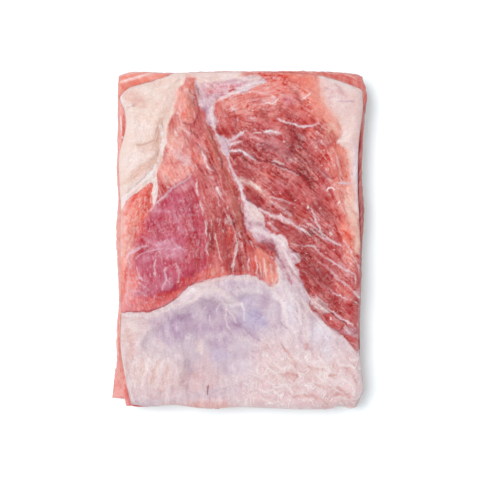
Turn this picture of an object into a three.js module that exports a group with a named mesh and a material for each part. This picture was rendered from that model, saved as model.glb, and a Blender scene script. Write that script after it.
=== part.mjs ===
// Salt pork: one thick oblong slab of cured pork belly, lying rind down, modelled in millimetres.
// +X is the slab's width, +Y its length and +Z up. The origin is on the flat rind, under the
// middle of the slab. The top is the inner face of the cut: two pads of fat, four muscles with a
// seam of fat between them, and a thin skin of membrane. The sides show the layers under it.
import * as THREE from "three";
import { mergeGeometries, mergeVertices } from "three/addons/utils/BufferGeometryUtils.js";

// Driving dimensions
const WIDTH = 188;
const LENGTH = 251;
const FACE_HEIGHT = 37.5;
const RIM_DROP = 4.5;
const RIM_REACH = 7;

// Mesh fineness: cells across and along the face
const CELLS_X = 46;
const CELLS_Y = 61;

// Outlines. Each side lists [place along the side, inset from the nominal edge], corner to corner,
// from the low end of its axis to the high end. Neighbouring sides meet at the same corner.
// The lean layer is the widest. The cover above it is the face that the light falls on.
const LEAN = {
  left: [[-122.5, 9.5], [-113, 7], [-100, 4.2], [-87, 3], [-66, 3], [-44, 4], [-16, 3.5], [9, 2],
    [30, 3.5], [59.5, 3], [96.5, 3.5], [121.5, 4.5]],
  right: [[-123, 7.5], [-112, 3], [-103, 3], [-88.5, 5], [-59, 5], [-33, 4], [-7, 3.5], [21, 2],
    [45, 3.5], [70.5, 3], [96.5, 1], [107.5, 0], [121.5, 3.5]],
  bottom: [[-84.5, 3], [-66.5, 2.5], [-48, 4], [-25, 1.5], [0, 2.5], [26, 1.5], [63, 0.5],
    [74, 3], [81.5, 1], [86.5, 2.5]],
  top: [[-89.5, 4], [-78.5, 1], [-44.5, 1], [0, 0], [33.5, 0], [66.5, 0.5], [83, 1.5], [90.5, 4]],
};
const COVER = {
  left: [[-121, 13.5], [-107, 10.5], [-81, 6], [-53.5, 6], [-29, 6], [4, 5.5], [24, 6], [45, 5],
    [63.5, 5], [82, 9.5], [95, 9], [105.5, 5.5], [113, 12]],
  right: [[-122.5, 9], [-110.5, 3.5], [-99.5, 4.5], [-82.5, 6], [-59, 6.5], [-33, 5], [-3.5, 5],
    [19, 6], [37.5, 7], [67, 6.5], [85.5, 4.5], [98, 3], [111.5, 3.5]],
  bottom: [[-80.5, 4.5], [-66.5, 3], [-48, 4], [-25, 1.5], [0, 2.5], [26, 1.5], [63, 1],
    [74.5, 3.5], [85, 3]],
  top: [[-82, 12.5], [-72, 9.5], [-55.5, 4.5], [-49, 2], [0, 1], [33.5, 1.5], [54, 3],
    [66.5, 5.5], [77.5, 9], [90.5, 14]],
};

// A tongue of the lower lean hangs out of the left side near its low end, torn off square.
const FLAP = { from: -84, to: -117.5, reach: 9 };

// The wall from the cover's rim down to the rind. mix is 0 on the cover's outline and 1 on the
// lean's, out is the bulge past it, and wave is how much the layer's height wanders.
const WALL = [
  { z: 31.6, mix: 0.12, out: -0.6, wave: 1 },
  { z: 30.2, mix: 0.85, out: -0.2, wave: 1 },
  { z: 27.6, mix: 1, out: 0, wave: 1 },
  { z: 24.6, mix: 1, out: -0.3, wave: 1 },
  { z: 22.8, mix: 1, out: -1.9, wave: 0.9, flap: 0.3 },
  { z: 20.8, mix: 1, out: -0.8, wave: 0.9, flap: 1 },
  { z: 17, mix: 1, out: -0.9, wave: 0.8, flap: 0.85 },
  { z: 15.2, mix: 1, out: -2.4, wave: 0.7, flap: 0.2 },
  { z: 10.5, mix: 1, out: -1.4, wave: 0.4 },
  { z: 5.4, mix: 1, out: -2, wave: 0.2 },
  { z: 4.2, mix: 1, out: -3, wave: 0 },
  { z: 1.4, mix: 1, out: -2.2, wave: 0 },
  { z: 0, mix: 1, out: -3.2, wave: 0 },
];
const WAVE_HEIGHT = 1.3;

// The muscles and fat pads of the face. Each closed outline is [x, y] points, and its solid swells
// to rise above the face over edge millimetres, so that a valley stays between neighbours.
const PADS = [
  { // fat pad at the upper left
    rise: 2.4, edge: 9,
    at: [[-90, 106], [-82, 115], [-66, 119], [-49, 126], [-8, 126], [-36, 120], [-41, 114],
      [-46, 107], [-48, 96], [-52, 88], [-54, 79], [-57, 67], [-61, 57], [-68, 49], [-80, 38],
      [-91, 32], [-92, 67]],
  },
  { // band of fat below that pad
    rise: 1.2, edge: 3,
    at: [[-61, 57], [-62, 45], [-69, 42], [-79, 34.5], [-90, 22], [-92, 30], [-80, 38], [-68, 49]],
  },
  { // small muscle under the band
    rise: 1.8, edge: 6,
    at: [[-91, 20], [-79, 33], [-70, 40.5], [-64, 41], [-62, 30], [-66, 21], [-77, 8], [-82, -10],
      [-86, -29], [-92, -44]],
  },
  { // round muscle at the left
    rise: 4, edge: 11,
    at: [[-38.5, 47], [-48, 40.5], [-57, 33], [-66, 21], [-77, 8], [-82, -10], [-85, -29],
      [-91, -44], [-91, -53.5], [-69.5, -52.5], [-56, -49], [-46, -42], [-36.5, -34.5],
      [-27.5, -28.5], [-24.5, -16], [-23.5, 0.5], [-27.5, 19.5], [-32, 35]],
  },
  { // long strap muscle down the middle
    rise: 3.4, edge: 9,
    at: [[-36.5, 119], [-32, 106], [-26.5, 94.5], [-19, 83], [-15, 70.5], [-9.5, 62], [-6.5, 50.5],
      [-1.5, 39], [2, 25.5], [4.5, 13], [10.5, 2], [20.5, -16], [27.5, -32], [16.5, -30],
      [-4.5, -26.5], [-27.5, -28.5], [-23.5, 0.5], [-27.5, 19.5], [-32, 35], [-38.5, 47],
      [-57, 33], [-62, 37.5], [-61, 46], [-57, 66], [-53, 82], [-47.5, 95], [-46, 107]],
  },
  { // broad muscle at the right
    rise: 2.8, edge: 12, bundles: 0.75,
    at: [[-19, 96], [-18.5, 104], [-8, 108.5], [0, 109], [18.5, 117], [0, 126], [33.5, 127],
      [54, 126], [58.5, 113], [61.5, 102.5], [66.5, 91.5], [73.5, 82], [71, 73.5], [77.5, 59.5],
      [85, 30], [91, 0], [92, -44], [92, -84], [75.5, -69], [60.5, -59], [52, -51.5],
      [47.5, -36], [43.5, -25], [36.5, -6.5], [26, 6.5], [16.5, 19], [7.5, 30], [0, 42.5],
      [-7.5, 63.5], [-15, 76]],
  },
  { // fat pad at the upper right
    rise: 2.2, edge: 7,
    at: [[56, 126], [60, 113], [63, 102.5], [68, 91.5], [75, 82], [73, 73.5], [79, 59.5], [88, 48],
      [95, 50], [95, 128]],
  },
  { // membrane over the low end
    rise: 2.6, edge: 14,
    at: [[-92, -56], [-69.5, -55], [-56, -51], [-46, -44], [-36.5, -37], [-20, -32], [-4.5, -29],
      [7.5, -30], [19, -35], [28, -34], [37, -18], [43.5, -27], [48, -38], [52, -52], [61.5, -61],
      [75.5, -71], [95, -86], [95, -128], [-92, -128]],
  },
];

// Creases: an open line of [x, y] points, cut as a soft groove.
const CREASES = [
  { // seam of fat between the strap muscle and the broad one
    depth: 2.6, width: 4.4,
    at: [[-31, 108], [-23, 89], [-11, 65], [-3, 44], [4, 21], [9, 5], [19, -1], [30, -11],
      [39, -24], [45, -37]],
  },
  { // crease beside the strap muscle's upper end
    depth: 2.2, width: 3.4,
    at: [[-33, 118], [-31, 106], [-29, 96]],
  },
  { // crease across the fat pad
    depth: 1.1, width: 2.6,
    at: [[-73, 69], [-66, 71], [-62, 76]],
  },
  { // split between the two heads of the strap muscle
    depth: 1.5, width: 2.6,
    at: [[-48, 84], [-38, 76], [-33, 58], [-30, 38]],
  },
  { // first gap between the broad muscle's bundles
    depth: 1.6, width: 3,
    at: [[-10, 68], [8, 66], [24, 58], [44, 44], [58, 24]],
  },
  { // second gap between the bundles
    depth: 1.6, width: 3,
    at: [[8, 34], [26, 20], [44, 8], [60, -4], [78, -22]],
  },
  { // third gap between the bundles
    depth: 1.4, width: 3,
    at: [[34, -6], [52, -24], [70, -42], [86, -58]],
  },
  { // hollow in the broad muscle's upper part
    depth: 1.6, width: 6,
    at: [[40, 82], [42, 74], [47, 68]],
  },
];

// The wide, shallow undulation of soft meat that rests under its own weight.
const SWELL = [
  { height: 0.9, x: 0.021, y: 0.033, shift: 0.6 },
  { height: 0.6, x: 0.047, y: -0.029, shift: 2.1 },
  { height: 0.35, x: -0.071, y: 0.083, shift: 4.4 },
];

// The broad muscle's bundles run down to the right. They lie level at the slab's high end, and
// turn steeper towards its low end, so that they fan out from the seam.
const BUNDLE_PITCH = 15;
const BUNDLE_SLOPE = 0.76;
const BUNDLE_TURN = 0.0045;
const BUNDLE_ROOT = -20;

// The relief is evened out over a ring of this radius, because meat has no knife-sharp valleys.
const EVEN_REACH = 2.4;
const EVEN_PLACES = 8;

// The wall bulges and sinks by this much, in patches this long and this high.
const UNEVEN_DEPTH = 0.6;
const UNEVEN_LENGTH = 10;
const UNEVEN_HEIGHT = 8;

const clamp01 = (t) => Math.min(1, Math.max(0, t));
const smooth = (t) => clamp01(t) ** 2 * (3 - 2 * clamp01(t));
const sineSum = (list, x, y) =>
  list.reduce((sum, w) => sum + w.height * Math.sin(w.x * x + w.y * y + w.shift), 0);

// The four edge curves of one outline, each running from the low end of its axis to the high end.
function edgeCurves(outline) {
  const toPoint = {
    left: ([along, inset]) => new THREE.Vector2(inset - WIDTH / 2, along),
    right: ([along, inset]) => new THREE.Vector2(WIDTH / 2 - inset, along),
    bottom: ([along, inset]) => new THREE.Vector2(along, inset - LENGTH / 2),
    top: ([along, inset]) => new THREE.Vector2(along, LENGTH / 2 - inset),
  };
  const curves = {};
  for (const side of Object.keys(outline)) {
    curves[side] = new THREE.SplineCurve(outline[side].map(toPoint[side]));
  }
  return curves;
}

// A point inside an outline: u runs across it and v along it, both from 0 to 1.
function patchPoint(curves, u, v) {
  const low = curves.bottom.getPointAt(u);
  const high = curves.top.getPointAt(u);
  const left = curves.left.getPointAt(v);
  const right = curves.right.getPointAt(v);
  const point = new THREE.Vector2();
  point.addScaledVector(low, 1 - v).addScaledVector(high, v);
  point.addScaledVector(left, 1 - u).addScaledVector(right, u);
  point.addScaledVector(curves.bottom.getPointAt(0), -(1 - u) * (1 - v));
  point.addScaledVector(curves.bottom.getPointAt(1), -u * (1 - v));
  point.addScaledVector(curves.top.getPointAt(0), -(1 - u) * v);
  point.addScaledVector(curves.top.getPointAt(1), -u * v);
  return point;
}

// The shortest way from a point to a line of points.
function distanceTo(line, x, y) {
  let nearest = Infinity;
  for (let i = 1; i < line.length; i += 1) {
    const a = line[i - 1];
    const b = line[i];
    const dx = b.x - a.x;
    const dy = b.y - a.y;
    const along = clamp01(((x - a.x) * dx + (y - a.y) * dy) / (dx * dx + dy * dy));
    nearest = Math.min(nearest, Math.hypot(x - a.x - along * dx, y - a.y - along * dy));
  }
  return nearest;
}

function isInside(line, x, y) {
  let inside = false;
  for (let i = 1; i < line.length; i += 1) {
    const a = line[i - 1];
    const b = line[i];
    const crosses = a.y > y !== b.y > y;
    if (crosses && x < a.x + ((b.x - a.x) * (y - a.y)) / (b.y - a.y)) {
      inside = !inside;
    }
  }
  return inside;
}

const toVectors = (list) => list.map(([x, y]) => new THREE.Vector2(x, y));
const pads = PADS.map((pad) => ({ ...pad, line: toVectors([...pad.at, pad.at[0]]) }));
const creases = CREASES.map((crease) => ({
  ...crease,
  line: new THREE.SplineCurve(toVectors(crease.at)).getPoints(24),
}));

// The bundles as a wave from -1 to 1. Some stand out, others fade.
function bundleWave(x, y) {
  const across = y + (BUNDLE_SLOPE - BUNDLE_TURN * y) * (x - BUNDLE_ROOT);
  const bent = across + 2.6 * Math.sin(x / 19 + y / 27) + 1.5 * Math.sin(x / 8 - y / 13);
  const strength = 0.6 + 0.4 * Math.sin(x / 21 - y / 16);
  return strength * Math.sin((bent / BUNDLE_PITCH) * 2 * Math.PI);
}

// How far the face stands above the slab's even height at a place.
function sharpRelief(x, y) {
  let height = sineSum(SWELL, x, y);
  for (const pad of pads) {
    if (!isInside(pad.line, x, y)) {
      continue;
    }
    const depth = clamp01(distanceTo(pad.line, x, y) / pad.edge);
    height += pad.rise * Math.sqrt(1 - (1 - depth) ** 2);
    if (pad.bundles) {
      height += pad.bundles * depth * bundleWave(x, y);
    }
  }
  for (const crease of creases) {
    const away = distanceTo(crease.line, x, y) / crease.width;
    height -= crease.depth * Math.exp(-away * away);
  }
  return height;
}

// The same, evened out: the middle counts twice, and each place on the ring once.
function relief(x, y) {
  let sum = 2 * sharpRelief(x, y);
  for (let i = 0; i < EVEN_PLACES; i += 1) {
    const turn = (i / EVEN_PLACES) * 2 * Math.PI;
    sum += sharpRelief(x + EVEN_REACH * Math.cos(turn), y + EVEN_REACH * Math.sin(turn));
  }
  return sum / (2 + EVEN_PLACES);
}

const cover = edgeCurves(COVER);
const lean = edgeCurves(LEAN);

// The face: a plane of cells bent to the cover's outline and raised by the relief.
function faceGeometry() {
  const plane = new THREE.PlaneGeometry(1, 1, CELLS_X, CELLS_Y);
  const position = plane.getAttribute("position");
  for (let i = 0; i < position.count; i += 1) {
    const u = position.getX(i) + 0.5;
    const v = position.getY(i) + 0.5;
    const point = patchPoint(cover, u, v);
    position.setXYZ(i, point.x, point.y, rimmedHeight(point, u, v));
  }
  splitCells(plane);
  return plane;
}

// Each cell is split along the diagonal that lies closer to the relief, so that a slanting valley
// keeps an even floor. Rows run from the top of the plane down.
function splitCells(plane) {
  const position = plane.getAttribute("position");
  const corners = [];
  for (let row = 0; row < CELLS_Y; row += 1) {
    for (let column = 0; column < CELLS_X; column += 1) {
      const highLeft = row * (CELLS_X + 1) + column;
      const highRight = highLeft + 1;
      const lowLeft = highLeft + CELLS_X + 1;
      const lowRight = lowLeft + 1;
      const u = (column + 0.5) / CELLS_X;
      const v = 1 - (row + 0.5) / CELLS_Y;
      const middle = rimmedHeight(patchPoint(cover, u, v), u, v);
      const falling = (position.getZ(highLeft) + position.getZ(lowRight)) / 2;
      const rising = (position.getZ(lowLeft) + position.getZ(highRight)) / 2;
      if (Math.abs(falling - middle) < Math.abs(rising - middle)) {
        corners.push(highLeft, lowLeft, lowRight, highLeft, lowRight, highRight);
      } else {
        corners.push(highLeft, lowLeft, highRight, lowLeft, lowRight, highRight);
      }
    }
  }
  plane.setIndex(corners);
}

function rimmedHeight(point, u, v) {
  const toRim = Math.min(u * WIDTH, (1 - u) * WIDTH, v * LENGTH, (1 - v) * LENGTH);
  const fall = 1 - Math.sqrt(1 - (1 - clamp01(toRim / RIM_REACH)) ** 2);
  return FACE_HEIGHT + relief(point.x, point.y) * smooth(0.35 + toRim / 12) - RIM_DROP * fall;
}

// The rim as a loop of cells, against the clock seen from above: the side it lies on, and u and v.
function rimLoop() {
  const loop = [];
  for (let i = 0; i < CELLS_X; i += 1) {
    loop.push({ side: "bottom", share: i / CELLS_X, u: i / CELLS_X, v: 0 });
  }
  for (let j = 0; j < CELLS_Y; j += 1) {
    loop.push({ side: "right", share: j / CELLS_Y, u: 1, v: j / CELLS_Y });
  }
  for (let i = CELLS_X; i > 0; i -= 1) {
    loop.push({ side: "top", share: i / CELLS_X, u: i / CELLS_X, v: 1 });
  }
  for (let j = CELLS_Y; j > 0; j -= 1) {
    loop.push({ side: "left", share: j / CELLS_Y, u: 0, v: j / CELLS_Y });
  }
  return loop;
}

const loop = rimLoop();
const leanLoop = loop.map((place) => lean[place.side].getPointAt(place.share));

// The outward direction at a place on the loop, from its two neighbours.
function outward(index) {
  const before = leanLoop[(index + loop.length - 1) % loop.length];
  const after = leanLoop[(index + 1) % loop.length];
  return new THREE.Vector2(after.y - before.y, before.x - after.x).normalize();
}

// The torn tongue grows towards its tip and ends sharply.
function flapReach(point) {
  if (point.x > 0 || point.y > FLAP.from || point.y < FLAP.to) {
    return 0;
  }
  return FLAP.reach * ((FLAP.from - point.y) / (FLAP.from - FLAP.to));
}

function wallPoint(index, row) {
  const place = loop[index];
  const rim = patchPoint(cover, place.u, place.v);
  if (row === 0) {
    return new THREE.Vector3(rim.x, rim.y, rimmedHeight(rim, place.u, place.v));
  }
  const layer = WALL[row - 1];
  const base = leanLoop[index];
  const away = outward(index);
  const rise = layer.z / UNEVEN_HEIGHT;
  const patches = Math.sin(base.x / UNEVEN_LENGTH + rise) * Math.sin(base.y / UNEVEN_LENGTH - rise);
  const reach = layer.z > 0 ? layer.out + UNEVEN_DEPTH * patches : layer.out;
  const point = rim.clone().lerp(base, layer.mix).addScaledVector(away, reach);
  point.x -= (layer.flap ?? 0) * flapReach(base);
  const wander = Math.sin(base.x / 23 + base.y / 31 + row * 0.25) + 0.5 * Math.sin(base.y / 13);
  return new THREE.Vector3(point.x, point.y, layer.z + WAVE_HEIGHT * layer.wave * wander);
}

// The wall: a plane wrapped round the loop, one row of cells for each layer.
function wallGeometry() {
  const plane = new THREE.PlaneGeometry(1, 1, loop.length, WALL.length);
  const position = plane.getAttribute("position");
  const columns = loop.length + 1;
  for (let i = 0; i < position.count; i += 1) {
    const point = wallPoint(i % columns % loop.length, Math.floor(i / columns));
    position.setXYZ(i, point.x, point.y, point.z);
  }
  return plane;
}

// The flat rind that the slab lies on, turned to face down.
function rindGeometry() {
  const rim = loop.map((place, index) => wallPoint(index, WALL.length));
  const shape = new THREE.Shape(rim.map((point) => new THREE.Vector2(point.x, point.y)));
  const flat = new THREE.ShapeGeometry(shape);
  const corners = flat.index.array;
  for (let i = 0; i < corners.length; i += 3) {
    [corners[i + 1], corners[i + 2]] = [corners[i + 2], corners[i + 1]];
  }
  return flat;
}

function slabGeometry() {
  const pieces = [faceGeometry(), wallGeometry(), rindGeometry()];
  for (const piece of pieces) {
    piece.deleteAttribute("normal");
    piece.deleteAttribute("uv");
  }
  const slab = mergeVertices(mergeGeometries(pieces), 1e-3);
  slab.computeBoundingBox();
  const middle = slab.boundingBox.getCenter(new THREE.Vector3());
  slab.translate(-middle.x, -middle.y, -slab.boundingBox.min.z);
  slab.computeVertexNormals();
  return slab;
}

const moistPork = new THREE.MeshStandardMaterial({
  color: 0xd98a86,
  roughness: 0.42,
  metalness: 0,
});

const slab = new THREE.Mesh(slabGeometry(), moistPork);
slab.name = "pork_slab";

const saltPork = new THREE.Group();
saltPork.add(slab);

export default saltPork;
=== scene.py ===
"""A slab of salt pork seen from above: raw belly meat, face up, on a plain pale surface.

The slab lies in the frame's own metres, with +X across its width, +Y along its length and +Z up.
Places and sizes below are in millimetres, measured from the middle of the slab's outline and from
the surface that it lies on. The face is four sheets of fine cells that run a little way under
each other. Their relief and colours are worked out from the outlines of the muscles, the fat and
the membrane, and from the way that the fibres run. The sides are one more sheet, wrapped round
the layers under the face.
"""

import math

import bmesh
import bpy
import numpy as np
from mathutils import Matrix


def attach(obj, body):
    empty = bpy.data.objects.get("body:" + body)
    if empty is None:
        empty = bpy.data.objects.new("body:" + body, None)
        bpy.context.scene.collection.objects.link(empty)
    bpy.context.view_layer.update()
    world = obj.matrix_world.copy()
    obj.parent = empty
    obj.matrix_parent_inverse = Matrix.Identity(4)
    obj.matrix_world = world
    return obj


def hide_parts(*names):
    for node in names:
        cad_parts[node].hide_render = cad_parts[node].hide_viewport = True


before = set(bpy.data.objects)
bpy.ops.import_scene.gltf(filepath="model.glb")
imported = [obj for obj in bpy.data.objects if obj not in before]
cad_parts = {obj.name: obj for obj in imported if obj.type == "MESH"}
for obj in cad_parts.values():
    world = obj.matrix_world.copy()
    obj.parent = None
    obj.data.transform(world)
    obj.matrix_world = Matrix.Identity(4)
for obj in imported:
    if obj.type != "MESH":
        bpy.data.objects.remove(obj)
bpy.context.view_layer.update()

MM = 0.001

# Driving dimensions, as in the solid that this stands for
WIDTH = 188
LENGTH = 251
FACE_HEIGHT = 37.1
RIM_DROP = 4.5
RIM_REACH = 7
# Size of the face's cells, fine enough for its threads
CELL = 0.46

# Outlines, one side at a time: (place along the side, inset from the nominal edge), corner to
# corner. COVER is the face's, and LEAN that of the meat below it, which shows past the face.
LEAN = {
    "left": [(-122.5, 9.5), (-113, 7), (-100, 4.2), (-87, 3), (-66, 3), (-44, 4), (-16, 3.5),
             (9, 2), (30, 3.5), (59.5, 3), (96.5, 3.5), (121.5, 4.5)],
    "right": [(-123, 7.5), (-112, 3), (-103, 3), (-88.5, 5), (-59, 5), (-33, 4), (-7, 3.5),
              (21, 2), (45, 3.5), (70.5, 3), (96.5, 1), (107.5, 0), (121.5, 3.5)],
    "bottom": [(-84.5, 3), (-66.5, 2.5), (-48, 4), (-25, 1.5), (0, 2.5), (26, 1.5), (63, 0.5),
               (74, 3), (81.5, 1), (86.5, 2.5)],
    "top": [(-89.5, 4), (-78.5, 1), (-44.5, 1), (0, 0), (33.5, 0), (66.5, 0.5), (83, 1.5),
            (90.5, 4)],
}
COVER = {
    "left": [(-121, 13.5), (-107, 10.5), (-81, 6), (-53.5, 6), (-29, 6), (4, 5.5), (24, 6),
             (45, 5), (63.5, 5), (82, 9.5), (95, 9), (105.5, 5.5), (113, 12)],
    "right": [(-122.5, 9), (-110.5, 3.5), (-99.5, 4.5), (-82.5, 6), (-59, 6.5), (-33, 5),
              (-3.5, 5), (19, 6), (37.5, 7), (67, 6.5), (85.5, 4.5), (98, 3), (111.5, 3.5)],
    "bottom": [(-80.5, 4.5), (-66.5, 3), (-48, 4), (-25, 1.5), (0, 2.5), (26, 1.5), (63, 1),
               (74.5, 3.5), (85, 3)],
    "top": [(-82, 12.5), (-72, 9.5), (-55.5, 4.5), (-49, 2), (0, 1), (33.5, 1.5), (54, 3),
            (66.5, 5.5), (77.5, 9), (90.5, 14)],
}

# Colours, as meat looks in soft white light
COLOURS = {
    # lean meat, from deep to pale
    "lean_dark": "#87323A", "lean_deep": "#A8464A", "lean_brown": "#AE5350", "lean": "#CA686B",
    "lean_rose": "#D27777", "lean_red": "#DA6A63", "warm_red": "#DE6764", "coral": "#EE857B",
    "coral_pink": "#F29C9C", "lean_orange": "#F79C8B", "lean_salmon": "#EA9A92",
    "rose_film": "#E2A0A6", "lean_peach": "#EFAA9D", "blush": "#F4B4AC", "pale_pink": "#F3C2BA",
    "pale_peach": "#F8D2C4",
    # the round muscle, seen through its film
    "plum": "#C85A6C", "plum_deep": "#BD4C60", "plum_lilac": "#CB7890", "film": "#DB9FB2",
    "film_white": "#EBCBD6",
    # fat, and the painted shade of its valleys and creases
    "cream": "#F5E0D9", "fat_cream": "#F4DDD4", "fat_pink": "#EBCECB", "fat_rose": "#E3BFBE",
    "fat_blush": "#EAC3B8", "salmon_fat": "#E8B2AC", "valley_shade": "#E4B7A6", "crease_shade": "#CB9C88",
    # silverskin and threads of film, and a painted glint
    "white": "#F6E9EA", "thread": "#F0DFE6", "glint": "#FBF1F0", "silver": "#DCC8D6",
    "mauve": "#CDA7B6", "seam": "#D8B3BE", "seam_cream": "#E9D2D3",
    # membrane, from lilac to milky, and a painted highlight for its ridges
    "lilac_deep": "#AC8DA8", "lilac": "#BFA3BC", "lavender": "#C3B2D0", "hyacinth": "#BFB0CC",
    "dusk": "#D6C4CF", "haze": "#D9C4CC", "rosy": "#E0BFC0", "mist": "#E2D2DB",
    "ice": "#E8DEE8", "valley": "#EAD3D5", "milk": "#E9D3D1", "warm_milk": "#EBD3D0",
    "ridge_highlight": "#EFDCD8", "ivory": "#FAF1F1",
    # small marks, one of them a mauve for painted shade
    "mauve_shade": "#A5636D", "tawny": "#CC8373", "slit": "#8E5A50", "pink_mark": "#D2948F",
    # the sides, with a painted shade for the right one, and the rind
    "edge_lean": "#E0948D", "edge_orange": "#F29B8C", "shaded_right_edge": "#BA7775",
    "rind": "#D9B48C", "rind_dark": "#B98A62",
}
# The colours above are what the eye sees. Some of it is the light's own gloss, and the meat
# reflects a share of the rest.
GLOSS_VEIL = 0.035
REFLECTED = 0.78
DARKEST = 0.006

# The way the fibres run: (x, y, degrees from +X towards +Y)
FIBRES = [
    # broad muscle
    (-10, 97, 35), (15, 112, 12), (45, 115, -18), (60, 104, -50), (8, 82, -25), (45, 67, -42),
    (67, 52, -60), (22, 48, -28), (45, 30, -34), (70, 8, -55), (81, -14, -62), (37, 15, -27),
    (59, -7, -40), (78, -37, -42), (52, -22, -50), (70, -55, -42), (81, -70, -45),
    # strap muscle
    (-41, 111, -76), (-33, 89, -65), (-22, 67, -62), (-11, 41, -66), (-4, 15, -80), (-7, -7, -88),
    (-18, -18, -92), (-44, 89, -80), (-48, 67, -62), (-41, 59, -52), (-55, 48, -42),
    (-30, 30, -80), (-26, 0, -90), (7, -16, -86), (22, -23, -76), (15, -7, -52),
    # round muscle and the small one above it
    (-44, 33, -72), (-59, 0, -64), (-44, -22, -80), (-74, -37, -75), (-67, 19, -55),
    (-74, 30, 62), (-81, 15, 66), (-85, -3, 80),
    # seam
    (-26, 100, -66), (-11, 70, -62), (0, 41, -56), (15, 19, -45), (33, -3, -40), (41, -26, -62),
    # membrane
    (-59, -74, -95), (-74, -96, -80), (-15, -59, -80), (7, -44, -18), (-30, -37, 22),
    (15, -74, -45), (44, -74, -85), (59, -66, -48), (44, -103, -28), (74, -103, -40),
    (-15, -96, -90), (-44, -111, -92), (-81, -63, 5),
    # fat
    (-74, 89, 30), (-67, 59, -50), (-18, 122, 0), (70, 104, -10), (81, 82, -78), (85, 50, -85),
]
FIBRE_REACH = 13

# A stroke is made of finer strands that run along it
STRAND_WIDTH = 0.5
STRAND_LENGTH = 6

# How the slab's soft meat undulates as it rests under its own weight
SWELL = [(0.9, 0.021, 0.033, 0.6), (0.6, 0.047, -0.029, 2.1), (0.35, -0.071, 0.083, 4.4)]
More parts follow.
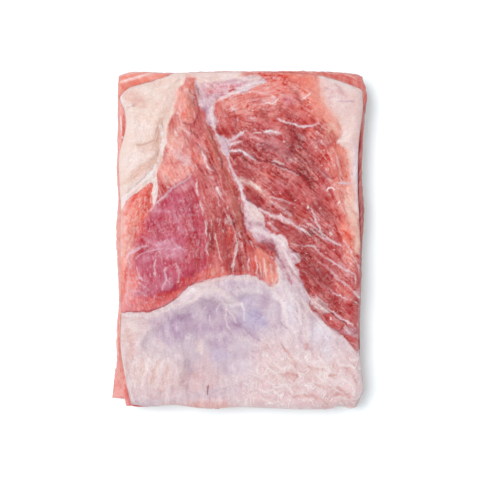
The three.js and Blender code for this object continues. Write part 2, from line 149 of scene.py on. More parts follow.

# What the face is made of, from the bottom layer up. outline is a closed line of points, and none
# for the meat that fills the rest. soft is the width of the border, rise how far it swells, edge
# how far in from the border, and wet its gloss. tints are soft round patches of colour: colour,
# share, x, y, reach in x, reach in y, turn. weave is (texture, how much deeper the colour of its
# low places is, colour of the film on its high places, share of that film, height). The deeper
# colour is painted shade in the low places of the texture's relief, and the film is partly the
# tissue's own thin film and partly painted sheen on its high places.
TISSUES = [
    {
        "name": "broad muscle", "base": "lean", "rise": 2.8, "edge": 12, "wet": 0.9,
        "tints": [
            ("lean_salmon", 1.0, 10, 114, 84, 40, 0), ("blush", 0.45, 32, 104, 36, 14, 0),
            ("lean_orange", 0.85, 46, 120, 24, 18, 0), ("lean_orange", 0.8, 58, 100, 11, 24, 18),
            ("lean_red", 0.7, 40, 113, 10, 6, -20), ("lean", 0.3, 27, 97, 16, 6, -15),
            ("lean_rose", 0.6, 37, 102, 9, 7, 0), ("lean_deep", 0.4, -2, 84, 7, 6, -30),
            ("blush", 0.4, 24, 74, 13, 7, -20), ("lean_rose", 0.5, 8, 82, 11, 7, -20),
            ("blush", 0.5, 0, 97, 14, 7, -20), ("lean_deep", 0.85, 42, 73, 10, 13, 0),
            ("lean_salmon", 0.7, 53, 82, 8, 8, 0), ("lean_rose", 0.6, 61, 68, 10, 12, 0),
            ("lean_deep", 0.55, 0, 57, 15, 8, -35), ("lean_deep", 0.5, 38, 63, 10, 6, -20),
            ("lean_salmon", 0.65, 19, 48, 11, 6, -30), ("lean", 0.6, 34, 42, 16, 9, -32),
            ("lean_deep", 0.7, 49, 46, 11, 9, -40), ("lean_deep", 0.45, 9, 35, 11, 7, -35),
            ("lean", 0.6, 33, 26, 10, 6, -30), ("lean_salmon", 0.8, 45, 19, 12, 6, -35),
            ("lean_deep", 0.7, 60, 21, 10, 7, -45), ("lean_deep", 0.8, 56, 4, 12, 7, -35),
            ("lean_deep", 0.7, 44, -8, 16, 6, -35), ("lean_deep", 0.95, 57, -23, 18, 10, -40),
            ("lean_salmon", 0.6, 75, -37, 12, 7, -45), ("lean_brown", 0.4, 70, -50, 14, 6, -40),
            ("mauve", 0.8, 82, -67, 9, 9, 0), ("lean_salmon", 0.85, 69, 60, 12, 18, 0),
            ("lean_salmon", 0.95, 81, 14, 14, 54, 6), ("lean_peach", 0.95, 75, 67, 11, 11, 0),
            ("lean_peach", 0.9, 76, 44, 10, 20, 0), ("pale_pink", 1.0, 82, 23, 8, 17, 3),
            ("lean_orange", 0.75, 78, 9, 8, 13, 8), ("lean_peach", 0.8, 84, -4, 7, 20, 0),
            ("lean_rose", 0.7, 24, 75, 10, 5, -15), ("lean_rose", 0.6, 44, 18, 11, 5, -30),
            ("lean_salmon", 0.6, 40, 111, 10, 6, -10), ("lean_rose", 0.6, 34, 42, 9, 7, -30),
            ("lean_deep", 0.5, 34, 27, 8, 5, -30), ("lean_deep", 0.5, 18, 92, 8, 5, -20),
            ("rose_film", 0.9, 37, 103, 8, 7, 0), ("pale_peach", 0.8, 68, 86, 6, 9, 20),
            ("lean_rose", 0.6, 71, -52, 8, 6, -40), ("lean_deep", 0.5, 24, 69, 5, 4, 0),
            ("rose_film", 0.6, 23, 75, 9, 5, -15), ("rose_film", 0.3, 33, 41, 8, 5, -30),
            ("lean_rose", 0.6, 45, 18, 9, 6, -30), ("blush", 0.7, 74, 41, 8, 8, 0),
            ("pale_peach", 0.7, 71, 84, 7, 10, 20), ("lean", 0.5, 22, 97, 8, 5, -15),
            ("lean", 0.8, 14, 104, 9, 6, 0), ("lean", 0.5, 44, -7, 9, 6, -35),
            ("lean_deep", 0.8, 37, 62, 8, 6, -20), ("lean_red", 0.5, 65, 60, 8, 8, 0),
            ("lean_deep", 0.6, 33, 26, 8, 6, -30), ("lean_deep", 0.9, 59, 23, 10, 6, -45),
            ("lean_deep", 0.9, 55, 4, 11, 7, -35), ("lean_deep", 0.8, 57, -24, 13, 8, -40),
            ("lean_orange", 0.8, 44, 119, 10, 6, 0), ("lean_rose", 0.8, -11, 93, 6, 6, 0),
            ("rose_film", 0.5, 33, 41, 8, 5, -30), ("rose_film", 0.5, 22, 74, 8, 6, -10),
            ("blush", 0.5, 52, 82, 7, 6, 0), ("rose_film", 0.4, 6, 80, 26, 15, -30),
            ("lean_salmon", 0.5, 44, 118, 12, 7, 0), ("blush", 0.6, 44, 19, 7, 5, -30),
            ("lean_salmon", 0.6, 44, 119, 9, 6, 0), ("lean_deep", 0.7, 33, 27, 7, 5, -30),
            ("lean_deep", 0.7, 59, 22, 7, 5, -45), ("lean_deep", 0.8, 59, -21, 8, 6, -40),
            ("lean_deep", 0.5, 42, 77, 7, 6, 0), ("lean_deep", 0.85, 48, 57, 11, 13, 0),
            ("lean_deep", 0.5, 40, 21, 16, 9, -30), ("lean_deep", 0.4, 49, 3, 9, 9, 0),
            ("lean_red", 0.5, 49, 95, 10, 10, 0), ("lean_red", 0.4, 30, 113, 10, 9, 0),
            ("lean_red", 0.5, 49, 90, 9, 14, 0), ("blush", 0.4, 12, 38, 10, 8, -30),
            ("lean_salmon", 0.4, 67, 22, 8, 20, 0), ("blush", 0.35, -3, 90, 10, 15, 0),
            ("lean_peach", 0.5, 67, 76, 10, 9, 0),
        ],
        "weave": [
            ("bundle", 0.32, "lean_salmon", 0.16, 0.45), ("shaded_split", 0.5, "lean", 0, 0.24),
            ("strand", 0.22, "pale_pink", 0.08, 0.12), ("fibre", 0.45, "pale_pink", 0.18, 0.03),
            ("lump", 0.2, "lean_salmon", 0.14, 0.22), ("highlight_curl", 0, "pale_pink", 0.22, 0.08),
            ("glint_speck", 0, "white", 0.16, 0.05), ("mottle", 0.24, "lean_rose", 0.14, 0.3),
        ],
    },
    {
        "name": "strap muscle", "base": "lean_rose", "soft": 1.6, "rise": 3.4, "edge": 9,
        "wet": 0.8,
        "outline": [
            (-35.5, 120), (-32, 118), (-30.5, 109.5), (-30, 100), (-25, 92.5), (-24.5, 87.5),
            (-19, 82), (-16.5, 73), (-14, 67), (-11, 62.5), (-5.5, 47), (-0.5, 37.5), (3, 23.5),
            (3, 17), (4.5, 9.5), (10, 1.5), (12.5, -2.5), (22.5, -13), (26, -18), (28, -23.5),
            (27.5, -29), (25, -34), (23, -34.5), (18, -30.5), (9, -26.5), (-8.5, -26), (-27, -30),
            (-37, -29), (-44.5, 0.5), (-59, 26.5), (-65, 45), (-62, 52), (-59, 67), (-49, 104),
            (-41.5, 119),
        ],
        "tints": [
            ("lean", 0.95, -13, 20, 30, 62, 12), ("lean_deep", 0.55, -8, 4, 22, 36, 8),
            ("blush", 0.7, -42, 98, 13, 24, 0), ("lean_orange", 0.6, -38, 97, 6, 9, -10),
            ("lean_orange", 0.7, -36, 114, 7, 9, 0), ("blush", 0.9, -44, 107, 5, 9, 0),
            ("pale_peach", 0.6, -50, 72, 12, 22, 0), ("blush", 0.7, -46, 65, 13, 16, 0),
            ("blush", 1.0, -53, 50, 15, 12, -20), ("blush", 0.7, -47, 46, 10, 9, -30),
            ("lean_salmon", 0.9, -33, 60, 10, 12, 0), ("lean", 0.5, -23, 45, 6, 9, 0),
            ("lean_salmon", 0.6, -26, 74, 6, 8, 0), ("lean_deep", 0.95, -10, -7, 8, 16, 0),
            ("lean_deep", 0.5, -18, 6, 7, 16, -8), ("lean_rose", 0.4, 5, -17, 8, 9, 0),
            ("lean", 0.6, 3, -9, 6, 6, 0), ("lean_red", 0.95, 11, -17, 9, 11, 0),
            ("lean_orange", 0.95, 22, -28, 10, 8, -30), ("coral", 0.85, -20, -24, 14, 7, -10),
            ("lean_salmon", 0.8, -18, -22, 8, 5, 0), ("lean_deep", 0.7, -4, -6, 10, 12, 0),
            ("lean_red", 1.0, 13, -17, 12, 9, 0), ("lean_deep", 0.7, -21, 44, 7, 8, 0),
            ("lean", 0.7, 3, -11, 8, 8, 0), ("lean", 0.9, -21, 44, 7, 9, 0),
            ("lean_red", 0.5, -2, 7, 6, 9, 0), ("blush", 0.6, -26, 74, 6, 8, 0),
            ("rose_film", 0.5, -27, 74, 8, 9, 0), ("blush", 1.0, -43, 107, 8, 11, 0),
            ("lean_red", 0.8, 9, -15, 11, 8, 0), ("lean_deep", 0.7, 3, -11, 7, 9, 0),
            ("lean_red", 0.6, 11, -16, 6, 6, 0), ("blush", 0.8, -38, 50, 11, 8, 0),
            ("lean_red", 0.5, -6, 3, 9, 9, 0),
        ],
        "weave": [
            ("bundle", 0.25, "lean_salmon", 0.12, 0.28), ("shaded_split", 0.28, "lean", 0, 0.1),
            ("strand", 0.24, "pale_pink", 0.08, 0.12), ("fibre", 0.35, "pale_pink", 0.15, 0.03),
            ("lump", 0.1, "pale_pink", 0.05, 0.1), ("highlight_curl", 0, "pale_pink", 0.22, 0.07),
            ("glint_speck", 0, "white", 0.12, 0.04),
        ],
    },
    {
        "name": "round muscle", "base": "plum", "soft": 6, "rise": 4, "edge": 11, "wet": 1,
        "outline": [
            (-35, 49), (-53.5, 36.5), (-57, 33), (-63, 26.5), (-67, 20), (-72, 16), (-76, 10),
            (-77.5, 5.5), (-81.5, -8.5), (-85, -26.5), (-88, -36.5), (-94, -44), (-96, -53.5),
            (-67.5, -52), (-57, -49), (-53, -47), (-34.5, -32), (-27, -28.5), (-24, -17.5),
            (-25.5, 10.5), (-33, 45),
        ],
        "tints": [
            ("lean", 0.5, -36, 20, 14, 30, -15), ("plum_lilac", 0.5, -66, -17, 19, 14, 0),
            ("plum_lilac", 0.8, -53, -29, 14, 12, 0), ("plum_lilac", 0.4, -68, -34, 14, 9, 0),
            ("plum_lilac", 0.35, -47, 25, 12, 9, 40), ("plum_lilac", 0.4, -48, -4, 12, 12, 0),
            ("lean", 0.7, -33, -11, 9, 22, -5), ("plum_deep", 0.7, -40, -21, 10, 8, 0),
            ("plum_deep", 0.4, -56, 12, 15, 9, 30), ("plum_deep", 0.6, -60, -27, 4, 7, 0),
            ("plum_deep", 0.6, -70, -36, 10, 8, 0), ("coral_pink", 1.0, -84, -50, 30, 12, 0),
            ("warm_red", 0.8, -56, -42, 22, 7, 20), ("coral", 0.8, -66, -49, 16, 6, 10),
            ("warm_red", 0.8, -38, -30, 14, 7, 35), ("coral", 0.9, -28, -25, 12, 6, 10),
            ("coral_pink", 1.0, -88, -22, 14, 36, 0), ("coral", 0.9, -79, 9, 12, 20, -20),
            ("lean_red", 0.3, -77, -10, 6, 5, 0), ("plum_deep", 0.9, -42, 22, 12, 10, 30),
            ("lean_red", 0.8, -51, -43, 10, 5, 20), ("plum_deep", 0.6, -60, 3, 8, 7, 0),
            ("coral", 0.9, -78, -28, 9, 12, 0), ("coral_pink", 1.0, -82, -48, 16, 10, 0),
            ("warm_red", 0.9, -50, -42, 14, 6, 25), ("plum_deep", 0.5, -50, -29, 8, 8, 0),
            ("film", 0.3, -66, -14, 9, 7, 0), ("plum_lilac", 0.6, -62, 20, 10, 9, 30),
            ("rose_film", 0.8, -40, 39, 12, 8, 30), ("rose_film", 0.4, -62, 21, 9, 9, 0),
            ("plum_deep", 0.5, -62, 4, 9, 9, 0), ("blush", 0.7, -83, -12, 10, 22, 0),
            ("blush", 0.9, -86, -36, 13, 15, 0),
        ],
        "weave": [
            ("mottle", 0.2, "plum_lilac", 0.16, 0.3), ("patch", 0.14, "film", 0.08, 0.2),
            ("strand", 0.08, "film", 0.04, 0.03), ("fibre", 0.2, "film_white", 0.1, 0.02),
            ("lump", 0.12, "film", 0.04, 0.12), ("highlight_curl", 0, "film_white", 0.14, 0.05),
            ("glint_speck", 0, "film_white", 0.2, 0.04),
        ],
    },
    {
        "name": "small muscle", "base": "coral", "soft": 2.0, "rise": 1.8, "edge": 6, "wet": 0.8,
        "outline": [
            (-91, 21), (-86, 25), (-79.5, 33.5), (-76, 35), (-71, 40), (-65.5, 41), (-63.5, 27),
            (-67.5, 19.5), (-72, 16), (-76, 10), (-83, -16), (-86, -44), (-96, -44), (-96, 3.5),
        ],
        "tints": [
            ("lean_red", 0.5, -69, 25, 8, 14, 0), ("lean_orange", 0.6, -78, 18, 8, 12, -40),
            ("blush", 0.95, -87, 0, 13, 40, 0), ("blush", 0.9, -81, -4, 8, 17, 0),
            ("pale_pink", 0.8, -87, 12, 7, 11, 0), ("pale_pink", 1.0, -91, 0, 6, 60, 0),
        ],
        "weave": [
            ("strand", 0.25, "pale_pink", 0.1, 0.1), ("fibre", 0.2, "pale_pink", 0.1, 0.03),
            ("lump", 0.2, "pale_pink", 0.15, 0.1), ("highlight_curl", 0, "pale_pink", 0.3, 0.08),
            ("glint_speck", 0, "white", 0.25, 0.04),
        ],
    },
    {
        "name": "seam of silverskin", "base": "seam", "soft": 1.4, "rise": 0.5, "edge": 3,
        "wet": 0.7,
        "outline": [
            (-32, 119), (-6, 119.5), (7.5, 121.5), (16.5, 119.5), (19, 116.5), (11, 113.5),
            (2.5, 109), (-4.5, 110), (-17, 104.5), (-19, 101.5), (-20, 97), (-17, 87), (-18, 82.5),
            (-16, 79), (-8.5, 74.5), (-6.5, 72), (-6.5, 67.5), (-8, 60.5), (-6.5, 53.5), (-4, 48.5),
            (2, 41), (2, 36.5), (4.5, 31.5), (7.5, 30), (16.5, 20), (18.5, 16), (19, 9.5), (27, 4),
            (31, 4), (34.5, 0.5), (37.5, -7.5), (43.5, -10.5), (44.5, -15), (40, -17.5),
            (43.5, -22.5), (44.5, -28), (47, -31.5), (47.5, -36.5), (51, -42), (51, -46),
            (44.5, -44), (36.5, -33.5), (29.5, -20), (26.5, -13.5), (27, -7), (23.5, -2),
            (12.5, -0.5), (7, 8), (4.5, 9.5), (3, 17), (3, 23.5), (1, 33), (-2.5, 42), (-5.5, 47),
            (-9, 58), (-16.5, 73), (-19, 82), (-24.5, 87.5), (-25, 92.5), (-30, 100),
        ],
        "tints": [
            ("rose_film", 1.0, -15, 113, 20, 7, 0), ("film", 0.6, -7, 113, 16, 5, 0),
            ("seam_cream", 0.5, 8, 113, 10, 6, 0), ("lean_red", 0.8, -7, 113, 4, 2.2, -30),
            ("mauve", 1.0, -26, 100, 6, 10, 20), ("mauve", 1.0, -12, 70, 8, 12, 20),
            ("mauve", 0.5, -2, 40, 4, 8, 20), ("mauve", 0.9, -12, 70, 7, 9, 20),
            ("seam_cream", 0.8, 9, 18, 12, 9, -45), ("mauve", 0.8, 9, 13, 7, 3, -15),
            ("seam_cream", 0.8, 28, -1, 12, 6, -30), ("mauve", 0.6, 16, 4, 7, 3, -30),
            ("mauve", 0.6, 33, -17, 5, 8, 20), ("lean", 0.7, 7, 27, 2.4, 2.4, 0),
        ],
        "weave": [
            ("patch", 0.5, "seam_cream", 0.6, 0.3), ("strand", 0.35, "white", 0.3, 0.1),
            ("fibre", 0.2, "white", 0.25, 0.04), ("highlight_curl", 0, "white", 0.4, 0.08),
            ("glint_speck", 0, "white", 0.2, 0.03),
        ],
    },
    {
        "name": "membrane", "base": "haze", "soft": 0.7, "rise": 2.6, "edge": 14, "wet": 0.55,
        "outline": [
            (-98, -53.5), (-88, -53.3), (-78, -52.8), (-67.5, -52), (-57, -49), (-48, -43.5),
            (-34.5, -32), (-27, -29.5), (-8.5, -26), (8.5, -26), (13.5, -29), (18, -30.5),
            (23, -34.5), (27, -32.5), (28, -25.5), (27.5, -19), (29.5, -20), (36.5, -32),
            (44.5, -32), (51, -42), (51.5, -49), (53.5, -52), (56.5, -53), (64, -61.5), (76, -70),
            (86.5, -83), (89.5, -83), (99, -85.5), (99, -130), (-98, -130),
        ],
        "tints": [
            ("milk", 0.95, -80, -70, 26, 30, 0), ("milk", 0.95, -66, -95, 34, 26, 0),
            ("milk", 0.85, 30, -104, 42, 16, 0), ("milk", 0.85, 66, -96, 34, 20, 0),
            ("mist", 0.9, -38, -41, 11, 7, 35), ("ice", 0.95, 37, -52, 11, 18, 20),
            ("warm_milk", 0.6, 22, -77, 14, 7, -10), ("haze", 0.8, 38, -74, 11, 7, 0),
            ("ice", 1.0, 61, -70, 15, 15, -40), ("ice", 0.6, 26, -35, 8, 7, 0),
            ("lavender", 0.4, -2, -34, 24, 8, 0), ("rosy", 0.9, -20, -117, 34, 8, 0),
            ("rosy", 0.7, 74, -118, 28, 8, 0), ("salmon_fat", 1.0, -26, -124, 60, 9, 0),
            ("edge_lean", 0.9, -85, -121, 8, 9, 0), ("rosy", 0.3, -86, -84, 7, 26, 0),
            ("rosy", 0.7, -54, -103, 26, 16, 0),
        ],
        "weave": [
            ("mottle", 0.1, "milk", 0.12, 0.4), ("bundle", 0.08, "white", 0.14, 0.12),
            ("strand", 0.12, "white", 0.16, 0.08), ("fibre", 0.18, "white", 0.18, 0.02),
            ("patch", 0.16, "white", 0.16, 0.25), ("highlight_curl", 0, "white", 0.26, 0.05),
            ("glint_speck", 0, "white", 0.2, 0.02),
        ],
    },
    {
        "name": "thin part of the membrane", "base": "dusk", "soft": 22, "rise": 0, "edge": 12,
        "wet": 0.6,
        "outline": [
            (-64, -62), (-52, -50), (-40, -46), (-30, -42), (-24, -39), (-12, -42), (-4, -39),
            (3, -35), (16, -33), (28, -42), (31, -58), (23, -69), (14, -76), (13, -84), (18, -94),
            (6, -106), (-10, -114), (-26, -117), (-40, -116), (-45, -102), (-42, -90), (-44, -84),
            (-52, -86), (-66, -84), (-73, -78), (-70, -69),
        ],
        "tints": [
            ("lilac", 0.95, -52, -63, 20, 14, 15), ("lilac", 0.6, -58, -76, 12, 8, 0),
            ("lilac", 0.9, -10, -64, 24, 11, -20), ("lilac_deep", 0.6, -20, -50, 22, 9, -18),
            ("lilac_deep", 0.8, -42, -54, 15, 6, 15), ("lilac", 0.6, -26, -60, 26, 12, 0),
            ("milk", 0.7, -31, -78, 8, 11, 5), ("lilac", 0.75, -14, -76, 14, 8, 0),
            ("lilac", 0.5, -30, -69, 10, 7, 0), ("rosy", 0.8, -26, -124, 60, 9, 0),
            ("lavender", 0.5, -14, -86, 16, 8, 0), ("lilac", 0.3, -36, -100, 6, 18, 5),
            ("lavender", 0.6, 5, -45, 14, 9, -10), ("hyacinth", 0.95, 10, -58, 20, 13, -10),
            ("lilac", 0.7, 19, -43, 8, 9, 0), ("milk", 0.5, -8, -106, 22, 9, 0),
            ("milk", 0.5, -62, -80, 10, 8, 0), ("mist", 0.5, 0, -94, 14, 8, 0),
            ("milk", 0.6, -67, -66, 9, 8, 0), ("rosy", 0.9, -34, -103, 28, 15, 0),
            ("lilac", 0.5, 12, -70, 12, 10, -20), ("rosy", 0.5, -25, -90, 11, 11, 0),
        ],
        "weave": [
            ("mottle", 0.16, "milk", 0.2, 0.4), ("patch", 0.16, "white", 0.16, 0.2),
            ("strand", 0.05, "white", 0.06, 0.06), ("fibre", 0.06, "white", 0.08, 0.02),
            ("highlight_curl", 0, "white", 0.18, 0.05), ("glint_speck", 0, "white", 0.12, 0.02),
        ],
    },
    {
        "name": "loose end of the membrane", "base": "valley", "soft": 22, "rise": 2.6,
        "edge": 14, "wet": 0.6,
        "outline": [
            (12, -82), (28, -74), (44, -80), (62, -76), (80, -82), (99, -84), (99, -130), (8, -130),
            (0, -114), (10, -98),
        ],
        "tints": [
            ("rosy", 0.9, 74, -121, 34, 8, 0), ("ice", 0.8, 62, -82, 14, 10, -30),
            ("white", 0.5, 60, -98, 14, 8, 0), ("white", 0.6, 76, -106, 9, 7, 0),
            ("milk", 0.8, 58, -98, 30, 10, 0), ("milk", 0.6, 30, -96, 14, 12, 0),
            ("rosy", 0.5, 40, -92, 9, 7, -40), ("rosy", 0.7, 67, -114, 10, 6, 0),
            ("ivory", 0.5, 59, -96, 9, 7, 0),
        ],
        "weave": [
            ("mottle", 0.12, "white", 0.25, 0.3), ("patch", 0.16, "white", 0.25, 0.3),
            ("wrinkle", 0.95, "ivory", 1.0, 0.7), ("strand", 0.12, "white", 0.1, 0.08),
            ("fibre", 0.1, "white", 0.1, 0.03), ("highlight_curl", 0, "ivory", 0.5, 0.1),
        ],
    },
    {
        "name": "left fat pad", "base": "fat_cream", "soft": 2.2, "rise": 2.4, "edge": 9,
        "wet": 0.3,
        "outline": [
            (-88, 107), (-82, 113), (-63, 118), (-55, 120.5), (-48, 124), (-37, 130), (-1.5, 130),
            (-3, 119.5), (-29.5, 116.5), (-32, 119), (-38.5, 120), (-41, 117.5), (-45.5, 110.5),
            (-46, 104), (-48, 99), (-47.5, 94.5), (-52.5, 87), (-54, 73), (-56.5, 66), (-57.5, 60),
            (-64.5, 45), (-80, 34), (-83.5, 30), (-86.5, 24.5), (-88.5, 23), (-94, 27), (-96, 37.5),
            (-96, 103.5),
        ],
        "tints": [
            ("fat_blush", 1.0, -76, 105, 14, 10, -20), ("fat_pink", 0.8, -18, 122, 46, 8, 0),
            ("fat_blush", 0.3, -56, 101, 12, 14, 0), ("fat_blush", 0.5, -62, 118, 22, 5, 10),
            ("white", 0.3, -72, 84, 12, 10, 0), ("fat_pink", 0.4, -64, 66, 9, 8, 0),
            ("white", 0.8, -88, 102, 6, 9, 0), ("white", 0.4, -9, 121, 9, 5, 0),
            ("fat_blush", 0.8, -76, 102, 9, 7, 0), ("white", 0.4, -80, 58, 14, 12, 0),
        ],
        "weave": [
            ("mottle", 0.14, "white", 0.2, 0.9), ("patch", 0.12, "white", 0.25, 0.35),
            ("lump", 0.08, "white", 0.12, 0.1), ("highlight_curl", 0, "white", 0.15, 0.03),
        ],
    },
    {
        "name": "band of fat", "base": "cream", "soft": 0.9, "rise": 1.2, "edge": 3, "wet": 0.4,
        "outline": [
            (-58.5, 81), (-55, 81), (-54.5, 73.5), (-57.5, 59.5), (-60.5, 53.5), (-61.5, 49),
            (-61, 33.5), (-62, 27.5), (-64, 27), (-65, 41.5), (-71.5, 40.5), (-76.5, 35),
            (-80, 33.5), (-86.5, 24.5), (-89.5, 22.5), (-92, 25.5), (-82.5, 36), (-65, 53),
            (-61.5, 59), (-59, 65.5), (-58, 73),
        ],
        "tints": [
            ("fat_pink", 0.5, -58, 58, 4, 10, 0),
        ],
        "weave": [
            ("lump", 0.3, "white", 0.6, 0.35), ("strand", 0.18, "white", 0.3, 0.12),
            ("highlight_curl", 0, "white", 0.4, 0.1),
        ],
    },
    {
        "name": "right fat pad", "base": "fat_pink", "soft": 3.0, "rise": 2.2, "edge": 7,
        "wet": 0.3,
        "outline": [
            (55.5, 128), (58, 116.5), (60.5, 103.5), (63, 98), (65.5, 93), (72.5, 87), (74.5, 82),
            (74, 76.5), (71.5, 73), (74.5, 70), (79, 66), (80.5, 60), (81.5, 50), (82, 40),
            (84.5, 22), (98, 18), (98, 85.5), (98, 95), (98, 113), (89.5, 116), (77.5, 120),
            (72, 123), (62, 126),
        ],
        "tints": [
            ("cream", 0.4, 80, 82, 10, 14, 0), ("silver", 0.85, 84.5, 50, 6, 30, 0),
            ("fat_rose", 0.5, 70, 112, 12, 9, 0), ("fat_rose", 0.9, 93, 70, 6, 30, 0),
        ],
        "weave": [
            ("mottle", 0.1, "cream", 0.35, 0.3), ("patch", 0.12, "white", 0.2, 0.2),
            ("lump", 0.08, "white", 0.15, 0.08), ("highlight_curl", 0, "white", 0.2, 0.03),
        ],
    },
    {
        "name": "lean corner at the left", "base": "edge_lean", "soft": 1.0, "rise": 0, "edge": 3,
        "wet": 0.5,
        "outline": [
            (-96, 109), (-84, 115), (-71, 117.5), (-60, 120), (-50, 124.5), (-44, 130), (-96, 130),
        ],
        "tints": [("blush", 0.6, -70, 125, 26, 4, 0), ("lean_orange", 0.3, -81, 113, 8, 5, 0)],
        "weave": [
            ("strand", 0.2, "pale_pink", 0.2, 0.06),
        ],
    },
    {
        "name": "lean corner at the right", "base": "edge_lean", "soft": 0.9, "rise": 0,
        "edge": 3, "wet": 0.5,
        "outline": [
            (56, 130), (62, 123), (72, 120.5), (78, 118), (86, 114), (92, 110), (100, 112),
            (100, 130),
        ],
        "tints": [("blush", 0.9, 72, 124, 20, 4, 0)],
        "weave": [
            ("strand", 0.2, "pale_pink", 0.2, 0.06),
        ],
    },
]

# What each kind of stroke looks like: colour, height of its middle, share of its width that is
# soft border, how broken it is, and the share of the halo round it. Some kinds are painted
# highlights on ridges and wet places, and some painted shade in gaps, creases, folds, valleys,
# hollows and along borders.
STROKE_LOOKS = {
    "thread": ("thread", 0.25, 0.6, 0.6, 0.25), "glint": ("glint", 0.3, 0.5, 0.1, 0.1),
    "patch": ("thread", 0.15, 0.9, 0.9, 0.2), "crevice_shade": ("lean_dark", -0.6, 0.9, 0.4, 0.3),
    "fleck": ("white", 0.15, 0.6, 0.6, 0.2), "film": ("film_white", 0.05, 0.9, 0.6, 0.2),
    "crease_shade": ("crease_shade", -0.5, 0.8, 0.3, 0.2), "valley_shade": ("valley_shade", -0.4, 1.0, 0.2, 0.2),
    "mauve": ("mauve", -0.1, 1.0, 0.5, 0.2), "white": ("white", 0.2, 0.9, 0.5, 0.2),
    "slit": ("slit", -0.5, 0.5, 0.1, 0.1), "pink_mark": ("pink_mark", -0.4, 0.9, 0.5, 0.3),
    "rim": ("milk", 0.3, 0.8, 0.3, 0.2), "glow": ("lean_peach", 0.0, 1.0, 0.2, 0.1),
    "ember": ("lean_orange", 0.0, 1.0, 0.1, 0.1), "shade": ("lean_deep", -0.3, 0.9, 0.3, 0.3),
    "veil": ("film", 0.05, 1.0, 0.6, 0.1), "cream": ("cream", 0.3, 0.9, 0.5, 0.2),
    "mauve_shade": ("mauve_shade", -0.3, 0.9, 0.4, 0.3), "shaded_fold": ("fat_blush", -1.3, 1.0, 0.0, 0.0),
    "highlight_arc": ("ridge_highlight", 0.3, 0.9, 0.4, 0.2), "warm": ("warm_red", 0.0, 1.0, 0.2, 0.1),
    "furrow": ("lilac_deep", -0.4, 1.0, 0.2, 0.1), "blue": ("hyacinth", -0.1, 0.9, 0.3, 0.1),
    "crisp_shade": ("lean_deep", -0.3, 0.7, 0.2, 0.2), "bead": ("ivory", 0.8, 0.7, 0.0, 0.2),
    "peach": ("pale_peach", 0.0, 1.0, 0.3, 0.1), "ruck": ("ivory", 0.9, 0.95, 0.5, 0.1),
    "tawny": ("tawny", 0.1, 1.0, 0.3, 0.1), "blush": ("blush", 0.1, 1.0, 0.4, 0.1),
}

